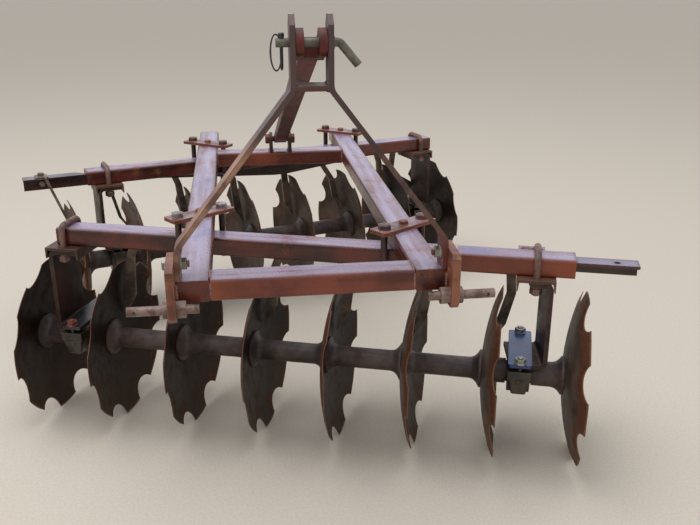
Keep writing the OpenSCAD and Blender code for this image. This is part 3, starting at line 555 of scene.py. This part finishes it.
def discFinish(name, look, gang, litLeftOf):
    # the hollow faces take a far darker tone than the round ones, which is painted shade; the rim attribute
    # runs from 0 at the edge to 1 inside
    f = Finish(name)
    point = f.point()
    facing = f.vector("DOT_PRODUCT", f.normal(), gang.to_3x3().col[0][:])
    rim = f.add("ShaderNodeAttribute", {"attribute_name": "rim"}, output=2)
    broad = f.cloud(point, 7.0, 6.0, 0.6)
    grain = f.cloud(point, 210.0, 4.0, 0.62)
    blotch = f.cloud(point, 26.0, 6.0, 0.66)
    blend = f.between(broad, 0.35, 0.65)
    speckle = f.between(grain, 0.3, 0.7)
    hollow = f.mix(blend, look["shadedHollowDark"], look["shadedHollowLight"])
    # painted light: the lower part of the hollow faces takes a lighter colour, as if lit from the floor
    low = f.between(f.part(point, 2) + (broad - 0.5) * 0.4, 0.3, 0.06)
    hollow = f.mix(low * 0.7, hollow, look["bounceLit"])
    if litLeftOf:
        # painted light: the hollow faces left of this place are paler, as if lit from the bright floor
        litTone = f.between(broad + (grain - 0.5) * 0.3, 0.35, 0.65)
        litTone = f.mix(litTone, look["litHollowDark"], look["litHollowLight"])
        across = f.part(point, 0) + (blotch - 0.5) * 0.2
        hollow = f.mix(f.between(across, litLeftOf + 0.1, litLeftOf - 0.1) * 0.9, hollow, litTone)
    outer = f.mix(blend, look["outerDark"], look["outerLight"])
    nearRim = f.between(rim + (blotch - 0.5) * 0.9 + (broad - 0.5) * 0.8, 0.62, 0.22)
    outer = f.mix(nearRim * 0.75, outer, f.mix(speckle, look["rimDark"], look["rimLight"]))
    # painted shade: the hollow faces take the darker tone
    base = f.mix(f.between(facing, -0.2, 0.2), outer, hollow)
    rust = f.between(blotch + (1 - rim) * 0.16, 0.63, 0.76)
    base = f.mix(rust * 0.7, base, f.mix(speckle, look["rustDark"], look["rust"]))
    base = f.mix(f.between(rim + blotch * 0.12, 0.12, 0.06) * 0.75, base, look["edge"])
    shine, more = look["rough"]
    roughness = shine + more * f.between(blotch + rust * 0.3, 0.4, 0.8)
    return f.surface(base, roughness, grain * 0.3 + blotch * 0.6 + rust * 0.3, look)


def dishAt(radius, size):
    ball = (size["radius"] ** 2 + size["dish"] ** 2) / (2 * size["dish"])
    return math.sqrt(ball ** 2 - max(radius, size["flat"]) ** 2) - (ball - size["dish"])


def rimAngles(size):
    # angles of one notch and one lobe, from the notch's middle, with the reach of the rim at each
    notch = size["notchRadius"]
    centre = size["radius"] - size["notchDepth"] + notch
    widest = math.acos((centre ** 2 + notch ** 2 - size["radius"] ** 2) / (2 * centre * notch))
    steps = size["notchSteps"]
    found = []
    for i in range(steps + 1):
        t = widest * (2 * i / steps - 1)
        across = notch * math.sin(t)
        inward = centre - notch * math.cos(t)
        found.append((math.atan2(across, inward), math.hypot(across, inward)))
    corner = found[-1][0]
    pitch = 2 * math.pi / size["notches"]
    for i in range(1, size["lobeSteps"]):
        found.append((corner + (pitch - 2 * corner) * i / size["lobeSteps"], size["radius"]))
    return [(angle % (2 * math.pi), reach) for angle, reach in found], pitch


def discSheet(size):
    # a flat round sheet, with a spoke of vertices at each of the rim's angles
    shape = bmesh.new()
    radii = sorted((size["bore"], size["flat"], *size["innerRings"]))
    band = (size["radius"] - size["still"]) / size["rings"]
    radii += [size["still"] + band * i for i in range(size["rings"] + 1)]
    line = [shape.verts.new((0, 0, r)) for r in radii]
    for a, b in zip(line, line[1:]):
        shape.edges.new((a, b))
    sector, pitch = rimAngles(size)
    turns = sorted({round((angle + k * pitch + pitch / 2) % (2 * math.pi), 7): reach
                    for angle, reach in sector for k in range(size["notches"])}.items())
    last = list(shape.verts) + list(shape.edges)
    bmesh.ops.rotate(shape, verts=shape.verts, matrix=Matrix.Rotation(turns[0][0], 3, "X"))
    for (a, _), (b, _) in zip(turns, turns[1:] + [(turns[0][0] + 2 * math.pi, 0)]):
        made = bmesh.ops.spin(shape, geom=last, cent=(0, 0, 0), axis=(1, 0, 0), dvec=(0, 0, 0),
                              angle=b - a, steps=1, use_merge=False)
        last = made["geom_last"]
    bmesh.ops.remove_doubles(shape, verts=shape.verts, dist=1e-5)
    return shape, dict(turns)


def wearRim(shape, rim, reachAt, size, seed):
    # draws the rim in to its notches, ragged with wear, and dishes the sheet
    for v in shape.verts:
        radius = math.hypot(v.co.y, v.co.z)
        angle = math.atan2(-v.co.y, v.co.z) % (2 * math.pi)
        nearest = min(reachAt, key=lambda t: abs((t - angle + math.pi) % (2 * math.pi) - math.pi))
        spot = Vector((math.cos(angle) * 2.2, math.sin(angle) * 2.2, seed * 3.7))
        rough = noise.fractal(spot * 3.0, 0.8, 2.0, 4)
        worn = size["wear"] * (0.6 + 0.5 * noise.noise(spot) + 0.16 * rough)
        reach = reachAt[nearest] - max(0.0, worn)
        share = max(0.0, (radius - size["still"]) / (size["radius"] - size["still"]))
        v[rim] = 1.0 - share
        if share > 0:
            radius = size["still"] + share * (reach - size["still"])
        wave = size["ripple"] * share * noise.noise(spot * 1.6 + Vector((5, 0, 0)))
        v.co = (wave - dishAt(radius, size), -math.sin(angle) * radius, math.cos(angle) * radius)


def thicken(shape, rim, size):
    # a second sheet behind the first, closer at the rim, and both joined at the rim and at the bore
    whole = list(shape.verts) + list(shape.edges) + list(shape.faces)
    copied = bmesh.ops.duplicate(shape, geom=whole)["geom"]
    for v in [g for g in copied if isinstance(g, bmesh.types.BMVert)]:
        thin = max(0.0, 1.0 - v[rim] * 4)
        v.co.x -= size["gauge"] + (size["edge"] - size["gauge"]) * thin
    bmesh.ops.reverse_faces(shape, faces=[g for g in copied if isinstance(g, bmesh.types.BMFace)])
    for far in (True, False):
        loops = [e for e in shape.edges if e.is_boundary and (e.verts[0].co.yz.length > 0.1) == far]
        bmesh.ops.bridge_loops(shape, edges=loops)
    bmesh.ops.recalc_face_normals(shape, faces=shape.faces)


def addDiscs(name, size, look):
    discs = bmesh.new()
    turn = turned("Z", look["turned"])
    for i in range(size["count"]):
        shape, reachAt = discSheet(size)
        rim = shape.verts.layers.float.new("rim")
        wearRim(shape, rim, reachAt, size, i + look["seed"])
        thicken(shape, rim, size)
        pour(discs, shape, look["gang"] @ at(look["first"] + i * size["pitch"], 0, 0) @ turn)
    steel = discFinish(name + "_steel", discLook, look["gang"] @ turn, look["litLeftOf"])
    addPiece(name, discs, look["body"], steel, [look["node"]], 50.0)


for key, gangLook in discGangs.items():
    addDiscs("worn_" + key + "_discs", discSize, gangLook)
print("discs made")


# Bolt heads and nuts: they cover the plain ones of the CAD nodes by a hair

boltLook = {"cover": 0.0004, "chamfer": 0.55, "pitch": 0.002, "root": 0.0011}
boltSteps = {"head": 24, "stud": 16, "washer": 28}


def ringSolid(steps, levels):
    # a closed solid of rings, each level a height and a function that gives the radius at an angle
    shape = bmesh.new()
    bmesh.ops.create_circle(shape, cap_ends=True, segments=steps, radius=1.0)
    top = shape.faces[:]
    rings = [list(top[0].verts)]
    for _ in levels[1:]:
        made = bmesh.ops.extrude_face_region(shape, geom=top)["geom"]
        top = [g for g in made if isinstance(g, bmesh.types.BMFace)]
        rings.append([g for g in made if isinstance(g, bmesh.types.BMVert)])
    for ring, (height, reach) in zip(rings, levels):
        for v in ring:
            angle = math.atan2(v.co.y, v.co.x)
            radius = reach(angle)
            v.co = (math.cos(angle) * radius, math.sin(angle) * radius, height(radius))
    bmesh.ops.recalc_face_normals(shape, faces=shape.faces)
    return shape


def roundLevel(height, radius):
    return (lambda r: height, lambda a: radius)


def hexReach(across):
    return lambda angle: across / 2 / math.cos((angle % (math.pi / 3)) - math.pi / 6)


def addHead(target, place, across, height, crown=0.0):
    # hexagon with a turned chamfer, standing on z = 0
    flat = across / 2 * 0.97
    outline = hexReach(across + 2 * boltLook["cover"])
    top = height + boltLook["cover"]
    levels = [(lambda r: 0.0, outline), (lambda r: top - (r - flat) * boltLook["chamfer"], outline),
              roundLevel(top, flat)]
    if crown:
        levels += [roundLevel(top + crown * 0.6, flat * 0.93), roundLevel(top + crown, flat * 0.6)]
    pour(target, ringSolid(boltSteps["head"], levels), place)


def addStud(target, place, radius, length):
    # a threaded end
    levels = []
    for i in range(2 * int(length / boltLook["pitch"]) + 1):
        depth = boltLook["root"] if i % 2 == 0 else 0.0
        levels.append(roundLevel(i * boltLook["pitch"] / 2, radius - depth))
    levels.append(roundLevel(length, radius - 2 * boltLook["root"]))
    pour(target, ringSolid(boltSteps["stud"], levels), place)


def addWasher(target, place, radius, gauge):
    levels = [roundLevel(0.0, radius), roundLevel(gauge * 0.75, radius),
              roundLevel(gauge, radius - gauge * 0.3)]
    pour(target, ringSolid(boltSteps["washer"], levels), place)


def addNut(target, place, nut, stud):
    # a nut with the bolt's threaded end standing out of it
    radius, length, lift = stud
    addHead(target, place, *nut)
    addStud(target, place @ at(0, 0, nut[1] + lift), radius, length)


# heads and nuts: (width over flats, height, crown), washers: (radius, gauge), studs: (radius, length, lift)
clampBolt = {
    "rail": 0.273, "reach": (0.043, 0.058), "plate": 0.01, "foot": 0.01, "head": (0.03, 0.013, 0.0008),
    "small": (0.022, 0.009, 0.001), "nut": (0.03, 0.016), "stud": (0.009, 0.006, 0.0),
}


def addClampBolts(size):
    reach = math.hypot(*size["reach"])
    slant = math.degrees(math.atan2(size["reach"][1], size["reach"][0]))
    heads = {"silverHead": bmesh.new(), "darkHead": bmesh.new()}
    small = bmesh.new()
    nuts = bmesh.new()
    for beam, turn, way in ((frontBeam, frontTurn, 1), (rearBeam, rearTurn, -1)):
        for side in (-1, 1):
            middle = beam @ at(side * size["rail"] / math.cos(turn), 0, 0) @ turned("Z", way * slant)
            onTop = middle @ at(0, 0, 2 * frameSize["tubeHigh"] + size["plate"])
            addHead(small, onTop, *size["small"])
            kind = "silverHead" if beam is frontBeam and side < 0 else "darkHead"
            for out in (-reach, reach):
                addHead(heads[kind], onTop @ at(out, 0, 0), *size["head"])
                addNut(nuts, middle @ at(out, 0, -size["foot"]) @ upside, size["nut"], size["stud"])
    addPiece("clamp_bolt_heads", heads["silverHead"], "frame", finishes["silverHead"])
    addPiece("dark_clamp_bolt_heads", heads["darkHead"], "frame", finishes["darkHead"])
    addPiece("clamp_small_bolts", small, "frame", finishes["plate"])
    addPiece("clamp_nuts", nuts, "frame", finishes["ubolt"])


uboltNut = {
    "front": (-0.694, 0.647), "rear": (-0.6855, 0.6505), "leg": 0.048, "down": 0.026,
    "nut": (0.028, 0.016), "stud": (0.0088, 0.004, 0.0005),
}


def addUboltNuts(size):
    nuts = bmesh.new()
    for beam, spots in ((frontBeam, size["front"]), (rearBeam, size["rear"])):
        for along in spots:
            for side in (-1, 1):
                leg = beam @ at(along, side * size["leg"], -size["down"]) @ upside
                addNut(nuts, leg, size["nut"], size["stud"])
    addPiece("ubolt_nuts", nuts, "frame", finishes["ubolt"])


capBolt = {
    "front": (-0.678, 0.621), "rear": (-0.6695, 0.6345), "out": 0.1, "up": 0.076, "down": 0.03,
    "washer": (0.0165, 0.0025), "nut": (0.026, 0.014), "stud": (0.0078, 0.0035, 0.0005),
}
capKinds = {
    "blueNear": ("greenZinc", "pin_steel"), "blueFar": ("silverHead", "pin_steel"),
    "black": ("black", "black_plate"), "red": ("redBolt", "rusty_plate"),
    "under": ("bearing", "black_plate"),
}


def capKind(name, along, side):
    # the blue cap's bolts are bare metal, and one bolt of the other front cap is red
    if name == "front" and along > 0:
        return "blueNear" if side < 0 else "blueFar"
    return "red" if name == "front" and side < 0 else "black"


def addCapBolts(size):
    bolts = {kind: bmesh.new() for kind in capKinds}
    for gang, name in ((frontGang, "front"), (rearGang, "rear")):
        for along in size[name]:
            for side in (-1, 1):
                over = bolts[capKind(name, along, side)]
                above = gang @ at(along, side * size["out"], size["up"])
                addWasher(over, above, *size["washer"])
                addNut(over, above, size["nut"], size["stud"])
                below = gang @ at(along, side * size["out"], size["down"]) @ upside
                addWasher(bolts["under"], below, *size["washer"])
                addHead(bolts["under"], below, *size["nut"])
    for kind, (finish, slot) in capKinds.items():
        addPiece("cap_bolts_" + kind.lower(), bolts[kind], "frame", finishes[finish])


# Cast blocks under the ends of the bearings' wings, round the lower nuts

castBlock = {
    "high": 0.0302, "low": -0.017, "along": 0.0305, "foot": 0.019, "near": 0.066, "far": 0.1122,
    "footFar": 0.104, "bevel": 0.004,
}


def addCastBlocks(size, spots):
    shape = bmesh.new()
    for gang, name in ((frontGang, "front"), (rearGang, "rear")):
        for along in spots[name]:
            for side in (-1, 1):
                block = bmesh.new()
                bmesh.ops.create_cube(block, size=1.0)
                for v in block.verts:
                    top = v.co.z > 0
                    reach = size["along"] if top else size["foot"]
                    end = size["far"] if top else size["footFar"]
                    v.co = (math.copysign(reach, v.co.x), side * (end if v.co.y > 0 else size["near"]),
                            size["high"] if top else size["low"])
                bmesh.ops.recalc_face_normals(block, faces=block.faces)
                bmesh.ops.bevel(block, geom=block.edges[:], offset=size["bevel"], segments=3, profile=0.5,
                                affect="EDGES", material=-1)
                pour(shape, block, gang @ at(along, 0, 0))
    addPiece("bearing_cast_blocks", shape, "frame", finishes["cast"])


scraperBolt = {
    "front": (-0.515, -0.312, -0.065, 0.16, 0.385, 0.581),
    "rear": (-0.4255, -0.2005, 0.0245, 0.1955, 0.4745), "rearFar": ((-0.6545, 0.0955), (0.5735, 0.0638)),
    "out": 0.046, "up": 0.022, "head": (0.017, 0.008, 0.0006), "bar": -0.915, "barFace": (-0.0254, 0.024),
    "barTop": (-0.004, 0.0498), "barHead": (0.019, 0.009, 0.0008),
}


def addScraperBolts(size):
    # each scraper's foot stands behind its beam; two feet at the rear stand off further
    heads = bmesh.new()
    spots = [(frontBeam, along, size["out"]) for along in size["front"]]
    spots += [(rearBeam, along, size["out"]) for along in size["rear"]]
    spots += [(rearBeam, *spot) for spot in size["rearFar"]]
    for beam, along, out in spots:
        addHead(heads, beam @ at(along, out, size["up"]) @ turned("X", -90), *size["head"])
    for spot, turn in ((size["barFace"], 90), (size["barTop"], 0)):
        addHead(heads, rearBeam @ at(size["bar"], *spot) @ turned("X", turn), *size["barHead"])
    addPiece("scraper_bolts", heads, "frame", finishes["scraper"])


addClampBolts(clampBolt)
addUboltNuts(uboltNut)
addCapBolts(capBolt)
addCastBlocks(castBlock, capBolt)
addScraperBolts(scraperBolt)
print("bolts made")


# Weld beads

beadLook = {
    "radius": 0.0046, "step": 0.0026, "ripple": 0.16, "lump": 0.3, "sides": 8, "taper": (0.45, 0.8),
}
frameWeld = {
    "sink": 0.0012, "short": 0.008, "tubeEnd": 0.009, "topScale": 0.75, "flushScale": 0.7,
    "plateSink": 0.003, "plateEnd": 0.012, "cornerOut": 0.001, "cornerEnd": 0.006, "clevisUp": 0.0008,
    "clevisShort": 0.006, "frontBar": (0.7445, 0.024), "rearBar": (-0.7585, 0.022), "barIn": 0.002,
    "barUp": 0.0335, "lug": (0.602, 0.662), "lugOut": 0.0385, "lugUp": 0.0515,
    "stiffener": (-0.42, -0.12, 0.14, 0.44), "stiffenerHalf": 0.03, "stiffenerOut": 0.0055,
    "stiffenerUp": -0.0008,
}
mastWeld = {"end": 0.004, "front": 0.0015}
clevisLow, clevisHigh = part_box("brace_clevis")
clevis = {
    "x": (clevisLow.x + clevisHigh.x) / 2, "y": rearTube[0].y + 0.022, "up": 0.046, "lug": 0.035,
    "half": 0.006, "deep": 0.025, "head": (0.03, 0.013, 0.0008), "nut": (0.03, 0.014),
}


def addBead(target, start, end, scale=1.0):
    start = Vector(start)
    end = Vector(end)
    length = (end - start).length
    count = max(3, int(length / beadLook["step"]))
    radius = beadLook["radius"] * scale
    tip, shoulder = beadLook["taper"]
    levels = []
    for i in range(count + 1):
        taper = tip if i in (0, count) else shoulder if i in (1, count - 1) else 1.0
        grain = noise.noise((start + end) * 40 + Vector((i * 0.37, 0, 0)))
        size = radius * taper * (1 + beadLook["ripple"] * math.sin(i * 2.2) + beadLook["lump"] * grain)
        levels.append(roundLevel(length * i / count, size))
    way = (end - start).to_track_quat("Z", "Y").to_matrix().to_4x4()
    pour(target, ringSolid(beadLook["sides"], levels), Matrix.Translation(start) @ way)


def addBeadLine(target, place, points, scale=1.0):
    spots = [place @ Vector(point) for point in points]
    for a, b in zip(spots, spots[1:]):
        addBead(target, a, b, scale)


def addTubeWelds(beads, size):
    # the cross tubes between the rails
    sink = size["sink"]
    for tube in (frontTube, rearTube):
        near, far = tube[0].y, tube[1].y
        low, high = tube[0].z + size["short"], tube[1].z
        nearScale = size["flushScale"] if tube is frontTube else 1.0
        for x in (leftRail[1].x, rightRail[0].x):
            line = [(x, near + size["tubeEnd"], high - sink), (x, far - size["tubeEnd"], high - sink)]
            addBeadLine(beads, still, line, size["topScale"])
            for y, scale in ((far - sink, 1.0), (near + sink, nearScale)):
                addBeadLine(beads, still, [(x, y, low), (x, y, high - size["short"])], scale)


def addPlateWelds(beads, size):
    # the hitch plates on the rails, and the clevis lugs on the rear tube
    front = leftRail[0].y
    for plate, x in ((leftPlate, leftPlate[1].x), (rightPlate, rightPlate[0].x)):
        z = railTop - size["plateSink"]
        line = [(x, plate[1].y - size["plateEnd"], z), (x, front + size["plateEnd"], z)]
        addBeadLine(beads, still, line, 0.8)
        y = front + size["cornerOut"]
        line = [(x, y, railTop - size["cornerEnd"]), (x, y, beamTop + size["cornerEnd"])]
        addBeadLine(beads, still, line, 0.9)
    z = railTop + size["clevisUp"]
    near, far = clevis["y"] - clevis["deep"] + size["clevisShort"], clevis["y"] + clevis["deep"]
    for side in (-1, 1):
        for face in (-1, 1):
            x = clevis["x"] + side * clevis["lug"] + face * clevis["half"]
            addBeadLine(beads, still, [(x, near, z), (x, far, z)], 0.8)


def addBeamWelds(beads, size):
    # the scraper bars, the lug and the stiffener on the gang beams
    up = size["barUp"]
    for side in (-1, 1):
        for beam, (end, out) in ((frontBeam, size["frontBar"]), (rearBeam, size["rearBar"])):
            addBeadLine(beads, beam, [(end, side * out, up), (end, side * size["barIn"], up)], 0.8)
    addBeadLine(beads, frontBeam, [(x, size["lugOut"], size["lugUp"]) for x in size["lug"]], 0.7)
    for spot in size["stiffener"]:
        ends = (spot - size["stiffenerHalf"], spot + size["stiffenerHalf"])
        line = [(x, size["stiffenerOut"], size["stiffenerUp"]) for x in ends]
        addBeadLine(beads, rearBeam, line, 0.9)


def addFrameWelds(size):
    beads = bmesh.new()
    addTubeWelds(beads, size)
    addPlateWelds(beads, size)
    addBeamWelds(beads, size)
    addPiece("weld_beads", beads, "frame", finishes["weld"], sharp=60.0)


def addMastWelds(size):
    beads = bmesh.new()
    low, high = spacer
    front = low.y + size["front"]
    for x in (low.x, high.x):
        for z in (low.z, high.z):
            addBeadLine(beads, still, [(x, low.y + size["end"], z), (x, high.y - size["end"], z)], 0.9)
        addBeadLine(beads, still, [(x, front, low.z), (x, front, high.z)], 0.8)
    addPiece("mast_weld_beads", beads, "frame", finishes["strap"], sharp=60.0)


addFrameWelds(frameWeld)
addMastWelds(mastWeld)
print("welds made")


# Hitch pins, strap bolts, clevis bolt and axle nuts

pinNut = {"nut": (0.036, 0.022), "stud": (0.0109, 0.027, 0.0002)}
strapBolt = {
    "back": 0.025, "up": 0.034, "strap": 0.012, "head": (0.024, 0.01, 0.0008),
    "washer": (0.015, 0.0025), "nut": (0.024, 0.014), "stud": (0.0078, 0.0055, 0.0005),
}
# hollowSide and roundSide run from an end disc's rim to the washer beside it
hubNut = {"hollowSide": 0.0429, "roundSide": 0.0479, "washer": 0.014, "nut": (0.046, 0.026)}


def addHitchNuts(pin, bolt):
    pinNuts = bmesh.new()
    bolts = bmesh.new()
    for side, name, plate in ((-1, "left_hitch_pin", leftPlate), (1, "right_hitch_pin", rightPlate)):
        inner, outer = (plate[1].x, plate[0].x) if side < 0 else (plate[0].x, plate[1].x)
        low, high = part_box(name)
        inward = turned("Y", -90 * side)
        onPin = at(inner, (low.y + high.y) / 2, (low.z + high.z) / 2) @ inward
        addNut(pinNuts, onPin, pin["nut"], pin["stud"])
        y = leftRail[0].y + bolt["back"]
        z = railTop + bolt["up"]
        addHead(bolts, at(outer, y, z) @ turned("Y", 90 * side), *bolt["head"])
        inside = at(inner - side * bolt["strap"], y, z) @ inward
        addWasher(bolts, inside, *bolt["washer"])
        addNut(bolts, inside, bolt["nut"], bolt["stud"])
    addPiece("hitch_pin_nuts", pinNuts, "frame", finishes["pin"])
    addPiece("strap_bolts", bolts, "frame", finishes["greenZinc"])


def addClevisBolt(size):
    bolt = bmesh.new()
    out = size["lug"] + size["half"]
    for side, kind in ((1, "head"), (-1, "nut")):
        face = at(size["x"] + side * out, size["y"], railTop + size["up"]) @ turned("Y", 90 * side)
        addHead(bolt, face, *size[kind])
    addPiece("clevis_bolt", bolt, "frame", finishes["brace"])


def addAxleNuts(size):
    for look in discGangs.values():
        last = look["first"] + (discSize["count"] - 1) * discSize["pitch"]
        hollowRight = look["turned"] == 0
        left = look["first"] + (-size["roundSide"] if hollowRight else size["hollowSide"])
        right = last + (-size["hollowSide"] if hollowRight else size["roundSide"])
        nuts = bmesh.new()
        for side, place in ((-1, left), (1, right)):
            face = look["gang"] @ at(place + side * size["washer"], 0, 0) @ turned("Y", 90 * side)
            addHead(nuts, face, *size["nut"])
        addPiece(look["body"] + "_axle_nuts", nuts, look["body"], finishes["spool"])


addHitchNuts(pinNut, strapBolt)
addClevisBolt(clevis)
addAxleNuts(hubNut)
print("nuts made")


# Linchpin: a shank with a wire loop sprung over the end of the top link pin

linchpin = {
    "shank": 0.0036, "tip": -0.0565, "point": 0.006, "head": 0.0064, "headLow": 0.01,
    "headHigh": 0.0205, "round": 0.0015, "underTop": 0.021, "wire": 0.002, "loop": 0.0235,
    "wide": 0.0115, "tall": 0.037, "out": -0.0115, "down": -0.02, "shankSteps": 20, "headSteps": 24,
}


def wireLoop(size):
    # a full ring, then drawn out to its width and height with the wire left round
    wire = bmesh.new()
    bmesh.ops.create_circle(wire, segments=10, radius=size["wire"])
    bmesh.ops.transform(wire, matrix=at(size["loop"], 0, 0) @ turned("X", 90), verts=wire.verts)
    bmesh.ops.spin(wire, geom=list(wire.verts) + list(wire.edges), cent=(0, 0, 0), axis=(0, 0, 1),
                   dvec=(0, 0, 0), angle=2 * math.pi, steps=48, use_merge=True)
    for v in wire.verts:
        core = Vector((v.co.x, v.co.y, 0)).normalized() * size["loop"]
        drawn = Vector((core.x * size["wide"], core.y * size["tall"], 0)) / size["loop"]
        v.co += drawn - core
    bmesh.ops.recalc_face_normals(wire, faces=wire.faces)
    return wire


def addLinchpin(size):
    low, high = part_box("linchpin_ring")
    place = at((low.x + high.x) / 2, (low.y + high.y) / 2, high.z - size["underTop"])
    shape = bmesh.new()
    tip, low, high = size["tip"], size["headLow"], size["headHigh"]
    shank = [roundLevel(tip, size["shank"] * 0.5), roundLevel(tip + size["point"], size["shank"]),
             roundLevel(low, size["shank"])]
    pour(shape, ringSolid(size["shankSteps"], shank), place)
    head = [roundLevel(low, size["head"] * 0.85), roundLevel(low + size["round"], size["head"]),
            roundLevel(high - size["round"], size["head"]), roundLevel(high, size["head"] * 0.8)]
    pour(shape, ringSolid(size["headSteps"], head), place)
    pour(shape, wireLoop(size), place @ at(size["out"], 0, size["down"]) @ turned("X", 90))
    addPiece("linchpin", shape, "frame", finishes["wire"], ["linchpin_ring"])


addLinchpin(linchpin)
print("linchpin made")


# Floor and light

studio = {
    "floor": (0.63, 0.575, 0.5), "half": 90.0, "sky": (0.9, 0.91, 0.98), "seen": (1.0, 0.99, 0.98),
    "ambient": 0.62, "keyPower": 230.0, "keySize": 6.0, "keyPlace": (-1.0, -0.6, 5.6),
    "keyAim": (0, 0, 0.4),
}


def addFloor(look):
    shape = bmesh.new()
    bmesh.ops.create_grid(shape, x_segments=1, y_segments=1, size=look["half"])
    mesh = bpy.data.meshes.new("floor")
    shape.to_mesh(mesh)
    shape.free()
    floor = bpy.data.objects.new("floor", mesh)
    scene.collection.objects.link(floor)
    f = Finish("floor_paint")
    speck = f.between(f.cloud(f.point(), 140.0, 4.0, 0.6), 0.3, 0.7)
    dark, light = (tuple(c * share for c in look["floor"]) for share in (0.93, 1.05))
    f.feed(f.shader.inputs["Base Color"], f.mix(speck, dark, light))
    f.shader.inputs["Roughness"].default_value = 0.85
    mesh.materials.append(f.material)


def addLight(look):
    # a pale room to look at and in reflections, with a weaker sky as light
    world = bpy.data.worlds.new("studio")
    world.use_nodes = True
    scene.world = world
    g = Graph(world.node_tree)
    background = world.node_tree.nodes["Background"]
    direct, glossy, through = (g.add("ShaderNodeLightPath", output=i) for i in (0, 3, 6))
    seen = g.between(direct + glossy + through, 0.0, 1.0)
    g.feed(background.inputs["Color"], g.mix(seen, look["seen"], look["sky"]))
    g.feed(background.inputs["Strength"], look["ambient"] + (1 - look["ambient"]) * seen)
    data = bpy.data.lights.new("key", "AREA")
    data.energy = look["keyPower"]
    data.size = look["keySize"]
    lamp = bpy.data.objects.new("key", data)
    lamp.location = look["keyPlace"]
    aim = Vector(look["keyAim"]) - Vector(look["keyPlace"])
    lamp.rotation_euler = aim.to_track_quat("-Z", "Y").to_euler()
    scene.collection.objects.link(lamp)


addFloor(studio)
addLight(studio)
scene.view_settings.view_transform = "Standard"
print("floor and light set")
